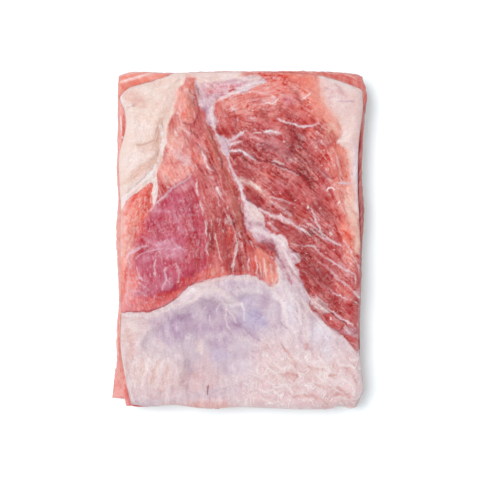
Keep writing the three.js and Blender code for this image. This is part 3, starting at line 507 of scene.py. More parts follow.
# Strokes on the face: kind, width, share and the line that it follows
STROKES = [
    # silvery threads on the broad muscle, and the branches of the seam
    ("cream", 3.0, 0.95, [(-2, 45), (4, 43.5), (11, 40), (15.5, 36)]),
    ("blush", 3.2, 0.7, [(14, 36.5), (18, 33.5), (21, 30.5), (22, 26)]),
    ("thread", 1.4, 0.9, [(-1, 43), (0.5, 36), (3, 30), (9, 26.5), (16.5, 22.5), (25, 16.5)]),
    ("thread", 1.2, 0.8, [(20.5, 13.5), (25, 10.5), (29, 6)]),
    ("thread", 1.7, 0.85, [(21.5, 18), (27, 17.3), (33, 15.2), (38.5, 12), (44, 8.5), (51, 4)]),
    ("thread", 0.9, 0.6, [(29.5, 19.5), (30, 16.5), (31.5, 13)]),
    ("thread", 0.7, 0.45, [(46.5, 15), (53.5, 10.5), (63, 3.5), (70.5, -2), (74, -3.5)]),
    ("thread", 0.7, 0.4, [(44.5, 12), (52.5, 8), (60.5, 2.5), (67.5, -2)]),
    ("thread", 1.2, 0.6, [(64, 2), (69, -1.5), (74.5, -4)]),
    ("thread", 0.9, 0.6, [(63.5, -13), (69.5, -17.5), (76, -21), (84.5, -26), (85.5, -32)]),
    ("thread", 0.8, 0.5, [(63, -33.5), (69, -39), (80.5, -43.5)]),
    ("thread", 2.0, 1.0, [(84.5, -37.5), (87.5, -40.5), (89.5, -43)]),
    ("thread", 1.0, 0.7, [(65, -50), (70.5, -54.5), (77.5, -59), (83, -62.5)]),
    ("glint", 0.7, 0.9, [(63.5, 37), (65, 39), (67.5, 39.2), (69.3, 37.5)]),
    ("thread", 0.9, 0.7, [(28, 89), (35, 86.5), (42, 85.5)]),
    ("thread", 1.1, 0.8, [(40, 86), (46.5, 83.5), (52, 84), (58, 86.5)]),
    ("thread", 2.0, 0.9, [(-8.5, 73), (-4, 75.5), (0, 78), (2.5, 79.5)]),
    ("thread", 1.6, 0.8, [(-6.5, 70.5), (-3, 71.5), (1, 72.3)]),
    ("thread", 1.6, 0.9, [(-7, 65.5), (-3, 66), (1, 65), (8, 62), (12, 59.5)]),
    ("thread", 0.9, 0.5, [(20.5, 32), (29.5, 30), (40, 26.5)]),
    ("thread", 1.0, 0.6, [(22, 29), (27, 26), (33, 22.5)]),
    ("fleck", 1.4, 0.6, [(24, 58), (28, 57.5), (32, 55.5)]),
    # Whitish patches with glints on them: painted highlights of the wet surface
    ("patch", 4.0, 0.65, [(18.5, 79), (24, 79.5), (29, 78)]),
    ("glint", 1.1, 0.8, [(18, 79.5), (22, 80.7), (27, 78.5)]),
    ("glint", 0.9, 0.6, [(10, 79), (13, 79.5), (16, 79)]),
    ("patch", 3.5, 0.4, [(15.5, 102), (21, 103), (27, 104.5)]),
    ("glint", 0.9, 0.7, [(19, 101), (25, 101.5), (28, 104)]),
    ("patch", 2.6, 0.8, [(-5.5, 98.5), (-4, 95)]),
    ("patch", 2.6, 0.5, [(-4, 89.5), (-2.5, 88)]),
    ("glint", 1.3, 0.8, [(49, 25), (50.5, 24.5)]),
    ("glint", 1.3, 0.8, [(58.5, 24), (60, 23.5)]),
    ("glint", 1.4, 0.8, [(66.5, 6.5), (68, 5)]),
    ("glint", 1.3, 0.7, [(72.5, 28), (72.5, 26)]),
    ("fleck", 8.0, 0.6, [(53, -43), (58, -47.5), (64, -51.5)]),
    ("glint", 1.2, 0.8, [(59, -50), (60.5, -51.5)]),
    ("glint", 1.2, 0.8, [(66, -56.5), (67.5, -58)]),
    ("thread", 0.7, 0.5, [(77, 0.5), (81.5, -7), (86, -16), (88, -23.5)]),
    ("thread", 0.7, 0.4, [(57.5, 53.5), (62, 47.5), (66.5, 43.5)]),
    ("thread", 0.8, 0.5, [(59, -16), (66.5, -22), (74, -29), (83, -36.5)]),
    ("thread", 0.7, 0.5, [(38.5, -2.5), (46, -4), (53.5, -4), (60.5, -10)]),
    ("thread", 0.9, 0.6, [(-19.5, 97), (-18, 102), (-12, 106.5), (-4, 109.5), (4, 111.5),
                          (12, 113.5)]),
    ("thread", 0.8, 0.4, [(6, 110), (14, 109.5), (22, 107), (28, 104)]),
    ("glint", 0.8, 0.6, [(46, 104), (50, 107), (53, 110)]),
    ("blush", 2.5, 0.5, [(70, 43), (76, 42.5), (86, 43)]),
    ("thread", 1.0, 0.6, [(72, 42.5), (79, 42.5), (87, 43)]),
    ("thread", 0.8, 0.6, [(52, 25), (56, 14), (60, 6), (61, 2)]),
    ("thread", 0.8, 0.4, [(70, 62), (73, 54), (74.5, 47)]),
    ("thread", 0.8, 0.5, [(28, 55), (36, 51), (43, 48)]),
    # painted shade in the gaps between its bundles and in its hollows
    ("crevice_shade", 1.2, 0.85, [(6, 63.5), (14.5, 59.3), (24.5, 57), (33, 53.7), (43, 49.5), (50, 45)]),
    ("shade", 9.0, 0.8, [(-3, 54), (3, 50.5), (10, 45.5)]),
    ("shade", 5.0, 0.7, [(4.5, 34.5), (10, 32), (15.5, 28)]),
    ("shade", 3.5, 0.6, [(-3, 68.5), (4, 69), (12, 68)]),
    ("crevice_shade", 1.1, 0.7, [(40.5, 84), (41, 77), (45, 70), (49.5, 64.5)]),
    ("shade", 6.0, 0.7, [(37, 84), (38.5, 77), (42, 70)]),
    ("crevice_shade", 1.2, 0.7, [(5, 30.5), (11, 27.7), (17, 24.3), (23, 20.5)]),
    ("crevice_shade", 1.2, 0.7, [(22, 15.5), (29, 13), (36, 9.5)]),
    ("shade", 3.5, 0.6, [(24, 12), (32, 9), (41, 4), (50, -2)]),
    ("shade", 3.6, 0.55, [(28, 8), (37, 2), (46, -4), (55, -10.5), (64, -16.5), (72, -23)]),
    ("crevice_shade", 1.2, 0.6, [(41.5, -11), (48, -17), (55, -23), (60.5, -29.5)]),
    ("shade", 7.0, 0.7, [(46, -16), (52, -23), (60, -31), (66, -38)]),
    ("crevice_shade", 1.0, 0.5, [(47.5, -28), (55, -35), (63.5, -42), (74, -48.5)]),
    ("crevice_shade", 1.1, 0.6, [(57.5, -44), (65, -51.5), (75.5, -59.5), (84.5, -67.5)]),
    ("shade", 3.0, 0.5, [(52, 37.5), (57.5, 30), (63.5, 21), (68, 14)]),
    ("shade", 3.5, 0.6, [(50, 62), (55, 56), (60, 50), (66, 46)]),
    ("shade", 3.0, 0.25, [(29.5, 45), (40, 37.5), (49, 33)]),
    ("shade", 1.6, 0.7, [(-4.5, 95), (-3.5, 89), (-3.5, 82.5)]),
    ("shade", 2.5, 0.4, [(7.5, 83), (16.5, 75), (26.5, 67)]),
    ("shade", 2.5, 0.4, [(28, 99), (33, 94), (40, 90)]),
    ("mauve_shade", 8.0, 0.5, [(16, 71), (26, 68), (37, 62)]),
    ("shade", 3.0, 0.5, [(36, 113), (42, 108), (46, 100)]),
    ("shade", 6.0, 0.6, [(51, -15), (58, -21), (65, -27)]),
    ("shade", 5.0, 0.6, [(54, 28), (59, 22), (64, 15)]),
    ("shade", 4.0, 0.45, [(28, 29), (34, 26), (41, 21)]),
    ("ember", 6.0, 0.5, [(38, 120), (46, 119), (54, 114)]),
    # the seam: cream lumps, painted mauve shade in its hollows, and white strands
    ("cream", 6.5, 0.5, [(6.5, 25), (11.5, 20.5), (15.5, 15.5)]),
    ("mauve_shade", 2.2, 0.5, [(7, 12.5), (11.5, 12.7), (16.5, 12)]),
    ("white", 3.2, 0.6, [(9.5, 8), (17, 6), (25, 2.5), (32, -3)]),
    ("mauve_shade", 4.0, 0.8, [(17, -1), (21.5, -3), (25, -6.5)]),
    ("mauve_shade", 1.8, 0.6, [(26.5, -7), (30, -14), (34, -22), (37.5, -31)]),
    ("white", 2.2, 0.7, [(33, -6), (35.5, -14), (39.5, -22), (42.5, -31)]),
    ("white", 1.2, 0.6, [(38, -9.5), (41.5, -12.5), (43, -16)]),
    ("mauve_shade", 2.0, 0.5, [(36.5, -19), (40, -25), (44, -31)]),
    ("white", 1.6, 0.7, [(-15.5, 103), (-8, 107), (1, 110)]),
    ("white", 2.2, 0.7, [(-2, 112.5), (8, 114.5), (18, 117)]),
    ("cream", 4.0, 0.7, [(-4, 120.5), (6, 119.5), (14, 120.5)]),
    ("white", 1.8, 0.7, [(-21, 98), (-20.5, 90), (-18, 83)]),
    ("mauve", 2.0, 0.6, [(-29, 107), (-26, 99), (-24, 93)]),
    ("white", 1.2, 0.3, [(-16, 75), (-11.5, 70), (-9, 63)]),
    ("mauve", 4.0, 0.9, [(-14.5, 76), (-12, 70), (-9.5, 64)]),
    ("mauve", 1.4, 0.6, [(-14, 77), (-11, 73.5), (-8, 72)]),
    ("thread", 1.0, 0.7, [(-8.5, 58), (-6, 51.5), (-2, 45)]),
    ("cream", 3.5, 0.6, [(26.5, -15), (28.5, -23), (27.5, -30), (24, -35)]),
    # strap muscle, with painted shade in its gaps, along the knob at its top and down its lower
    # part
    ("fleck", 1.3, 0.7, [(-26, 57.5), (-23, 54.5), (-19, 50.5)]),
    ("fleck", 1.5, 0.75, [(-17, 39.5), (-15, 36), (-13.5, 32)]),
    ("fleck", 0.9, 0.45, [(-8, 19), (-6.5, 15), (-6, 11.5)]),
    ("fleck", 0.9, 0.5, [(-27.5, 66), (-26.5, 62), (-26, 57.5)]),
    ("fleck", 0.9, 0.4, [(-44.5, 83), (-37, 77.5), (-29.5, 70.5), (-25, 58)]),
    ("patch", 6.7, 0.5, [(-47.5, 65.5), (-42, 61), (-37, 57.5)]),
    ("crevice_shade", 1.5, 0.6, [(-37, 80.5), (-34, 78), (-31, 76)]),
    ("shade", 5.9, 0.3, [(-11, 0.5), (-9, -8.5), (-6.5, -19)]),
    ("white", 1.0, 0.7, [(-40, 112), (-37, 108), (-34, 103)]),
    ("fleck", 0.9, 0.5, [(-3, -2.5), (-3.5, -11.5), (-5, -22.5)]),
    ("tawny", 6.0, 0.42, [(-24, 84), (-13, 56), (-6.5, 37), (-1.5, 19), (0, 9)]),
    ("ember", 1.6, 0.5, [(-26, 78), (-20, 66), (-15, 52)]),
    ("warm", 7.0, 0.6, [(7, -4), (9, -13), (9, -25)]),
    ("ember", 8.0, 0.75, [(14, -8), (20, -18), (24, -28)]),
    ("warm", 3.0, 0.5, [(-36.5, 77), (-33, 74.5), (-29.5, 72)]),
    ("warm", 9.0, 0.45, [(-15, 4), (-14, -8), (-12, -22)]),
    ("warm", 7.0, 0.4, [(-8, 10), (-5, -2), (-4, -14)]),
    ("glow", 6.0, 0.6, [(-44, 110), (-42, 104), (-41, 98)]),
    ("glow", 5.0, 0.7, [(-39, 121), (-35, 119.5), (-32, 119)]),
    ("blush", 4.0, 0.7, [(-46, 112), (-47, 103), (-48, 96)]),
    ("crisp_shade", 6.0, 0.5, [(-13, 4), (-11.5, -6), (-11, -20)]),
    ("fleck", 0.7, 0.5, [(6.5, -13), (6.5, -22.5)]),
    ("fleck", 0.8, 0.5, [(12, -12), (12.5, -19), (12.5, -24)]),
    ("cream", 0.9, 0.6, [(14.5, -16), (15.5, -22), (16, -27)]),
    ("cream", 1.1, 0.7, [(17.5, -14), (18.5, -21), (20, -28)]),
    ("cream", 1.1, 0.7, [(22, -17), (23, -23), (24.5, -31)]),
    ("fleck", 0.8, 0.4, [(-9.5, 19), (-5.5, 10), (-2, 5)]),
    ("fleck", 0.8, 0.4, [(-19, 5), (-16.5, -3.5), (-13.5, -16)]),
    ("fleck", 0.9, 0.6, [(-3.5, 5), (-2, -5.5), (-5.5, -19)]),
    ("crevice_shade", 1.9, 0.55, [(12, -2.5), (16.5, -5.5), (20.5, -10)]),
    ("crevice_shade", 1.6, 0.5, [(22, -4), (26, -7), (29, -11.5)]),
    ("crevice_shade", 1.2, 0.5, [(0.5, 27), (1.5, 16.5), (4.5, 6.5)]),
    ("crevice_shade", 1.8, 0.7, [(-32, 114.5), (-30.5, 107), (-31, 99)]),
    ("crevice_shade", 1.2, 0.45, [(-32.5, 73), (-26.5, 65.5), (-20.5, 55), (-15.5, 45)]),
    ("shade", 1.6, 0.85, [(-30, 98), (-31.5, 90), (-36.5, 85), (-42.5, 87)]),
    ("ember", 5.0, 0.3, [(-40, 104), (-38, 97), (-37, 91)]),
    ("tawny", 6.0, 0.5, [(-38, 113), (-36.5, 104), (-36, 97), (-37.5, 91)]),
    ("crevice_shade", 1.0, 0.4, [(-26, 87.5), (-20.5, 77.5), (-16.5, 67), (-12, 55)]),
    # round muscle
    ("fleck", 1.1, 0.6, [(-32, 44), (-32, 38), (-31, 33)]),
    ("fleck", 1.2, 0.65, [(-30, 29), (-28.5, 23.5), (-27.5, 19)]),
    ("fleck", 1.0, 0.55, [(-26, 14.5), (-25, 9), (-24.5, 3.5)]),
    ("fleck", 1.0, 0.4, [(-24, -0.5), (-24, -11.5)]),
    ("film", 1.2, 0.6, [(-80.5, -7), (-74.5, -5), (-68, -4.5)]),
    ("film", 0.9, 0.6, [(-82, -10), (-76, -6.5), (-69, -4)]),
    ("film", 1.4, 0.6, [(-83, -13), (-81, -9), (-78, -7.5)]),
    ("film", 0.8, 0.4, [(-82, -13), (-83, -29), (-83.5, -44)]),
    ("film", 1.1, 0.85, [(-76.5, -19), (-74.5, -25), (-71, -29.5)]),
    ("film", 0.9, 0.5, [(-62, -14), (-63, -20), (-62.5, -26)]),
    ("film", 1.0, 0.8, [(-55.5, -19.5), (-54.5, -25), (-53.5, -29), (-51, -32)]),
    ("film", 0.9, 0.6, [(-54, -27.5), (-56, -32), (-57.5, -36)]),
    ("veil", 7.0, 0.5, [(-66.5, 0.5), (-59, -5.5), (-53.5, -11.5)]),
    ("veil", 6.0, 0.4, [(-58, -3), (-50, -5), (-44, -9)]),
    ("veil", 5.0, 0.4, [(-48, 18), (-44, 12), (-43, 6)]),
    ("veil", 3.0, 0.6, [(-66, 22.5), (-59, 22.5), (-52, 21)]),
    ("film", 0.8, 0.5, [(-58, -6), (-66, -7.5), (-72, -10), (-77, -13)]),
    ("veil", 2.2, 0.5, [(-59, -4), (-66, -1), (-73, 3)]),
    ("veil", 2.4, 0.5, [(-62, -5), (-55, -1.5), (-48, 0)]),
    ("film", 0.7, 0.4, [(-57, -6), (-51, -7), (-45, -5.5)]),
    ("veil", 2.6, 0.45, [(-61, -4), (-56, -9), (-50, -11.5), (-43, -9)]),
    ("film", 0.7, 0.4, [(-60, -7), (-58, -12), (-57, -17)]),
    ("film", 0.8, 0.5, [(-83, -31), (-76, -30), (-71, -33), (-67, -37)]),
    ("veil", 9.0, 0.3, [(-80, -36), (-72, -38), (-64, -35)]),
    ("warm", 4.0, 0.6, [(-63, -46.5), (-53, -43), (-45, -38)]),
    ("veil", 5.0, 0.5, [(-60, -30), (-54, -33), (-49, -30)]),
    ("film", 1.2, 0.45, [(-80, -37), (-74, -37), (-69, -41)]),
    ("veil", 8.0, 0.5, [(-58, -2), (-50, -6), (-44, -12)]),
    ("film", 1.2, 0.4, [(-50.5, 0.5), (-46, -4), (-40, -8.5)]),
    ("film", 1.0, 0.4, [(-47.5, -16), (-44.5, -23.5), (-46, -30.5)]),
    ("film", 1.3, 0.7, [(-66.5, 22), (-63, 26.5), (-58.5, 30), (-53.5, 35), (-46, 40.5),
                        (-38.5, 45.5), (-35.5, 48.5)]),
    # Painted shade along the round muscle's border with the membrane
    ("crisp_shade", 0.8, 0.7, [(-87, -53.2), (-73.5, -52), (-62, -50.5), (-53, -47),
                            (-43.5, -39.5), (-35, -32), (-26, -30)]),
    # fat pads: in the left one, the crease, the tan lines and the folds are painted shade in its
    # hollows
    ("crease_shade", 1.3, 0.75, [(-77, 71), (-71.8, 70), (-65.5, 72), (-61.4, 74), (-58.8, 77.5),
                          (-58.8, 80.5), (-60, 83.5)]),
    ("valley_shade", 5.0, 0.9, [(-58.5, 64), (-62, 58.5), (-66, 56.6), (-74, 51), (-80, 46.5)]),
    ("valley_shade", 5.0, 0.9, [(-58, 90), (-59, 83), (-59.5, 76), (-61, 70), (-60, 64)]),
    ("valley_shade", 3.0, 0.5, [(-76, 48), (-84, 43), (-90, 41)]),
    ("shaded_fold", 9.0, 0.6, [(-57, 84), (-59, 76), (-64, 69), (-73, 68)]),
    ("shaded_fold", 8.0, 0.5, [(-57, 64), (-63, 57), (-72, 52), (-82, 45)]),
    ("white", 3.0, 0.7, [(-57.5, 82), (-56, 76), (-56.5, 69), (-59, 62)]),
    ("white", 3.4, 0.7, [(-62, 54), (-67, 48), (-74, 43), (-82, 34), (-88, 26)]),
    ("white", 3.0, 0.9, [(-89.5, 24), (-86, 28.5), (-82, 33)]),
    ("bead", 2.4, 0.7, [(-58.6, 84.4), (-57.6, 82.6)]),
    ("bead", 2.8, 0.8, [(-56.8, 79.4), (-56, 77.4)]),
    ("bead", 2.2, 0.7, [(-56.8, 74.6), (-55.6, 73.4)]),
    ("bead", 2.6, 0.7, [(-57.4, 70.4), (-56.6, 68.6)]),
    ("bead", 2.2, 0.6, [(-58.2, 65.6), (-57.2, 64)]),
    ("bead", 2.8, 0.7, [(-60.4, 60.4), (-59.4, 58.6)]),
    ("bead", 2.4, 0.6, [(-62.8, 55.2), (-61.6, 53.6)]),
    ("bead", 2.6, 0.6, [(-66.4, 50.2), (-65, 49)]),
    ("bead", 2.4, 0.6, [(-63, 45), (-62.8, 42.6)]),
    ("bead", 2.0, 0.6, [(-63.4, 36.8), (-63, 34.8)]),
    ("white", 2.6, 0.8, [(-88, 108), (-88.5, 102), (-87.5, 96)]),
    ("pink_mark", 2.0, 0.5, [(-78, 99), (-77, 100)]),
    ("pink_mark", 1.8, 0.3, [(-74, 103), (-71.5, 103.5)]),
    ("crease_shade", 1.2, 0.35, [(-83.5, 96.5), (-80.5, 99), (-77, 99.5)]),
    ("mauve", 1.4, 0.9, [(72.5, 103), (78.5, 102), (84.5, 102)]),
    ("mauve", 1.2, 0.8, [(62, 113), (65, 111.5), (66.5, 110.5)]),
    ("mauve", 1.3, 0.7, [(69.5, 114.5), (73.5, 111.5), (75.5, 107.5)]),
    ("mauve", 0.9, 0.4, [(65, 104), (70, 106), (76, 105)]),
    ("mauve", 0.9, 0.4, [(68, 110), (66, 105), (68, 100)]),
    ("pink_mark", 4.0, 0.15, [(66, 108), (72, 110), (78, 106)]),
    ("white", 3.0, 0.5, [(66, 118), (74, 116), (84, 111)]),
    ("white", 2.6, 0.7, [(86, 60), (85.5, 45), (86, 30), (87, 16)]),
    ("blue", 1.6, 0.4, [(81, 55), (83, 49), (82, 43)]),
    ("blue", 1.4, 0.35, [(74, 42.6), (80, 42), (86, 43)]),
    # where the broad muscle thins out over the fat
    ("ember", 7.0, 0.6, [(50.5, 121), (56.5, 106), (61.5, 96), (66, 88)]),
    ("peach", 5.0, 0.6, [(78, 68), (80.5, 60), (81.5, 50)]),
    ("peach", 7.0, 0.95, [(80, 38), (81.5, 28), (83, 18), (86, 4), (87, -8)]),
    ("glow", 7.0, 0.8, [(54, 122), (59.5, 106), (64.5, 95), (70, 88), (72.5, 83), (72, 78)]),
    ("glow", 5.0, 0.6, [(76.5, 63), (79, 54), (82, 44), (84.5, 30)]),
    ("cream", 4.0, 0.7, [(79, 76), (74.5, 73.5), (72, 72)]),
    # membrane: its pale arcs are painted highlights on its ridges
    ("highlight_arc", 2.8, 0.75, [(-32.5, -43), (-29.5, -38.5), (-24, -36.5), (-15, -36), (-11, -39.5)]),
    ("highlight_arc", 1.0, 0.6, [(-31, -34), (-25, -32.5), (-19, -33), (-14, -35.5)]),
    ("highlight_arc", 1.6, 0.45, [(-70, -56.5), (-56.5, -52.5), (-48.5, -48), (-40, -46), (-34.5, -44.8),
                       (-31.5, -41)]),
    ("white", 5.0, 0.4, [(-46, -43), (-40, -39.5), (-33, -36)]),
    ("furrow", 3.0, 0.75, [(-4.5, -60.5), (5, -65.8), (15, -73.5)]),
    ("furrow", 3.4, 0.4, [(-29, -42), (-24, -45.5), (-16, -48), (-8, -54)]),
    ("furrow", 2.4, 0.5, [(27, -45), (30, -52), (29, -60), (35, -64)]),
    ("furrow", 2.4, 0.4, [(-42, -57), (-40, -62), (-38, -70)]),
    ("furrow", 2.6, 0.35, [(-38, -88), (-36, -97), (-39, -110)]),
    ("furrow", 2.0, 0.35, [(-27, -93), (-26, -102), (-27, -111)]),
    ("furrow", 2.2, 0.35, [(-60, -58), (-58, -66), (-56, -74)]),
    ("white", 3.0, 0.25, [(-30, -72), (-28.5, -78), (-28, -84)]),
    ("highlight_arc", 0.6, 0.4, [(-29, -72), (-27.8, -77), (-28, -82)]),
    ("white", 0.8, 0.6, [(-12, -44), (-9.5, -50), (-10, -58), (-8, -66)]),
    ("white", 0.9, 0.8, [(1.8, -46), (2.8, -52), (2.5, -58.5)]),
    ("white", 0.6, 0.5, [(-10, -47), (-4, -48), (2, -47)]),
    ("white", 0.6, 0.5, [(-11, -51), (-5, -54), (-3, -60)]),
    ("white", 0.6, 0.4, [(-13, -46), (-17, -50), (-16, -55)]),
    ("white", 5.0, 0.4, [(-10, -41), (-4, -46), (1, -47)]),
    ("white", 4.0, 0.5, [(0, -36), (8, -37), (16, -38)]),
    ("white", 2.4, 0.6, [(24, -38), (30, -44), (33, -52), (34, -60)]),
    ("white", 2.0, 0.6, [(33, -36), (40, -44), (44, -52), (45, -62)]),
    ("highlight_arc", 2.2, 0.45, [(46, -43), (49.5, -52), (50.5, -62), (50.5, -71), (49, -77)]),
    ("blue", 1.4, 0.45, [(53.5, -54), (53.3, -66), (52.5, -81)]),
    ("pink_mark", 2.6, 0.6, [(49.5, -75.5), (49, -80)]),
    ("pink_mark", 1.4, 0.6, [(30, -77), (35, -82), (39, -87), (42, -93.5)]),
    ("pink_mark", 1.2, 0.5, [(42, -92), (42.5, -99), (40, -104)]),
    ("pink_mark", 1.6, 0.3, [(-74, -110), (-68, -114), (-60, -116)]),
    ("pink_mark", 4.5, 0.35, [(-84, -64), (-80, -76), (-80, -88)]),
    # Painted shade in the grooves down the left of the membrane
    ("valley_shade", 1.0, 0.4, [(-60, -88), (-63, -98), (-66, -110)]),
    ("valley_shade", 1.0, 0.35, [(-52, -90), (-54, -100), (-58, -112)]),
    ("valley_shade", 1.0, 0.3, [(-70, -84), (-73, -94), (-75, -104)]),
    ("white", 3.0, 0.5, [(-66, -86), (-69, -96), (-71, -106)]),
    ("white", 3.0, 0.5, [(-56, -88), (-58, -98), (-62, -108)]),
    ("slit", 0.7, 0.8, [(-23.3, -106.5), (-23.5, -110), (-24.2, -113.3)]),
    # The pink marks among the wrinkles of the loose end are their painted shadows
    ("pink_mark", 1.9, 0.8, [(65, -100), (68, -99), (71, -99)]),
    ("pink_mark", 1.8, 0.6, [(72, -108), (75, -110.5), (78, -110.5)]),
    ("pink_mark", 1.8, 0.35, [(29.5, -97.5), (38.5, -103), (44.5, -110.5)]),
    ("ruck", 2.0, 0.51, [(26, -90), (32, -94), (38, -93), (44, -97), (45, -102)]),
    ("ruck", 1.7, 0.51, [(18, -92), (25, -97), (31, -96)]),
    ("ruck", 1.9, 0.51, [(48, -86), (53, -90), (59, -88), (64, -91)]),
    ("ruck", 1.7, 0.47, [(56, -98), (61, -103), (67, -103), (70, -109)]),
    ("ruck", 2.0, 0.51, [(72, -88), (76, -92), (82, -92), (86, -97)]),
    ("ruck", 1.7, 0.51, [(47, -106), (52, -110), (58, -108), (63, -113)]),
    ("ruck", 1.7, 0.51, [(74, -101), (79, -103), (83, -108), (85, -115)]),
    ("ruck", 1.5, 0.51, [(20, -104), (27, -108), (33, -106), (39, -112)]),
    ("ruck", 1.5, 0.51, [(66, -118), (72, -115), (78, -117)]),
    ("ruck", 1.5, 0.42, [(8, -98), (14, -100), (20, -99)]),
    ("ruck", 1.5, 0.42, [(66, -95), (70, -98), (76, -97)]),
    ("ruck", 1.5, 0.42, [(34, -85), (39, -88), (42, -86), (47, -91)]),
    ("ruck", 1.4, 0.42, [(57, -92), (60, -95), (59, -99)]),
    ("ruck", 1.4, 0.42, [(36, -102), (41, -105), (47, -103)]),
    ("ruck", 1.5, 0.42, [(80, -86), (84, -88), (88, -87)]),
    ("ruck", 1.4, 0.42, [(12, -108), (18, -111), (24, -110), (29, -114)]),
    # More painted shadows beside the wrinkles
    ("pink_mark", 2.0, 0.5, [(50, -93), (57, -95), (64, -96)]),
    ("pink_mark", 2.2, 0.5, [(33, -99), (38, -98), (43, -100)]),
    ("pink_mark", 2.0, 0.5, [(56, -106), (62, -108), (66, -108)]),
    ("pink_mark", 2.6, 0.55, [(70, -114), (78, -113), (82, -116)]),
    ("pink_mark", 2.6, 0.5, [(40, -115), (50, -114), (58, -116)]),
    ("pink_mark", 1.8, 0.5, [(77, -93), (83, -97.5), (86, -106)]),
    # A painted highlight along the membrane's left edge, by the rim
    ("cream", 1.4, 0.7, [(-88.5, -54), (-88.3, -74), (-86, -94), (-82.5, -107), (-77.5, -120)]),
    ("warm", 4.0, 0.4, [(-33, -32.5), (-26, -29.5), (-17, -28), (-9, -26.5)]),
    ("rim", 1.3, 0.75, [(-35, -33.5), (-26.5, -31.5), (-17, -29), (-8.5, -27.5), (0, -28),
                        (9, -28), (16.5, -31.5), (23, -36), (27.5, -34.5)]),
    ("rim", 1.2, 0.6, [(-32.5, -34.5), (-38.5, -37.5), (-43.5, -42), (-50.5, -47), (-59, -51.5),
                       (-69.5, -53.5)]),
    # Painted shade along the membrane's border with the broad muscle
    ("crisp_shade", 1.0, 0.7, [(51.5, -45), (54, -50.5), (59, -56.5), (68, -65), (77, -70.5),
                            (82, -76), (87, -81.5)]),
    ("rim", 1.0, 0.6, [(51, -48), (53, -52.5), (58, -58.5), (67, -67), (76, -72.5), (81, -78),
                       (86, -84)]),
    ("fleck", 3.0, 0.3, [(77, -64), (82, -68), (87, -70)]),
]

# Random small marks that lie along the fibres: tissues, kind, number, length, width, share
SCATTER = [
    # Among them are painted glints, and painted shade in the gaps and small hollows
    (("broad muscle",), "glint", 80, 0.9, 0.4, 0.5),
    (("broad muscle",), "thread", 120, 4.0, 0.5, 0.3),
    (("broad muscle",), "crevice_shade", 110, 5.0, 0.7, 0.2),
    (("strap muscle", "small muscle"), "fleck", 110, 3.5, 0.5, 0.35),
    (("strap muscle", "small muscle"), "crevice_shade", 60, 5.0, 0.7, 0.2),
    (("round muscle",), "film", 110, 1.4, 0.45, 0.4),
    (("round muscle",), "shade", 60, 3.0, 1.2, 0.25),
    (("membrane",), "white", 90, 5.0, 0.8, 0.2),
    (("membrane",), "mauve", 50, 6.0, 1.0, 0.18),
    (("seam of silverskin",), "white", 60, 3.0, 0.6, 0.4),
]

# Places are moved about before a pattern or an outline is laid on them, so that no border is
# straight. Each cloud that moves them has a distance, a size and a number of steps of fineness.
# The number after them is the first cloud's seed.
BENT = ([(0.9, 6, 3), (0.4, 1.8, 2)], 11)
DRIFTED = ([(3.0, 20, 2), (2.4, 6, 2)], 15)
CURLED = ([(3.2, 8, 2)], 45)

# How far the fibres turn from side to side, in radians, with the cloud's size, seed and steps
TURN_WAVE = 0.22
TURN_CLOUD = (9, 5, 2)

# Patterns drawn out along the fibres: the places that they are laid on, width and length of a
# bump, and seed
STREAKS = {
    "bundle": ("bent", 5.5, 26, 22), "strand": ("bent", 1.9, 12, 23),
    "edges": ("bent", 4.4, 22, 43), "folds": ("bent", 2.3, 5, 44),
    "fibre": ("plain", 0.8, 6, 24), "glint_speck": ("plain", 0.8, 1.2, 29),
    "ruffles": ("curled", 2.6, 6, 47), "crimps": ("curled", 1.5, 4, 48),
}
# Patterns with no direction: the places, size of a bump, seed and steps of fineness
CLOUDS = {
    "lump": ("plain", 2.8, 25, 2), "patch": ("bent", 5, 26, 3), "mottle": ("bent", 12, 27, 3),
    "busy": ("plain", 9, 41, 2), "broken": ("plain", 3.5, 42, 2), "ragged": ("plain", 1.4, 91, 2),
}
# Where a pattern's height makes a mark: the levels between which the mark comes in
BUSY_AT = (-0.5, 0.5)
BROKEN_AT = (-0.35, 0.35)
# The splits are grooves with painted shade in them, the curls thin lines of painted highlight, and
# the specks painted glints of the wet surface
SHADED_SPLIT_AT = (0.16, 0)
HIGHLIGHT_CURL_AT = (0.12, 0)
GLINT_SPECK_AT = (0.62, 0.85)
RUFFLE_AT = (0.34, 0.04)
CRIMP_AT = (0.3, 0)
FILM_AT = (0, 0.9)
RUFFLE_HEIGHT = 0.7
CRIMP_HEIGHT = 0.5
WRINKLE_FLOOR = 0.3

# The fine patterns fade to a share near the rim, and the fibres are fainter where it is calm
FADING = ("strand", "fibre", "shaded_split", "highlight_curl", "glint_speck")
RIM_SHARE = 0.25
RIM_FADE = (0.4, 3.5)
CALM_SHARE = 0.5
BUSY_SHARE = 0.7

# How far from a tissue's outline its depth is worked out: as far as the widest edge
BORDER_REACH = 14
# A tissue swells from its border quickly at first and then slowly
QUICK_RISE = 0.65
SLOW_RISE = 0.35
RISE_FROM = -0.5
RISE_TO = 0.6
# Share of a round patch's reach that its full colour fills
SPOT_CORE = 0.15
# Where no fibres are named near by, all of them have a say by this weight
LEAST_WEIGHT = 1e-9
# Steps between two points of a line: of an outline, a stroke and a side of the slab
OUTLINE_STEPS = 4
STROKE_STEPS = 6
SIDE_STEPS = 24

# A stroke narrows to its tips, has a ragged border and shows its strands where it is wide
STROKE_MARGIN = 2
STROKE_TAPER = 5
STROKE_TIP = 0.3
STROKE_RAGGED = 0.12
STROKE_FEATHER = 0.25
SOFT_SPREAD = 0.3
STRAND_SEED = 77
STRAND_GAP = 0.55
STRAND_AT = (-0.2, 0.7)
STRAND_WIDTHS = (0.5, 1.6)
STROKE_BROKEN_AT = (-0.1, 0.7)
HALO_SPREAD = 2.4
HALO_MARGIN = 1

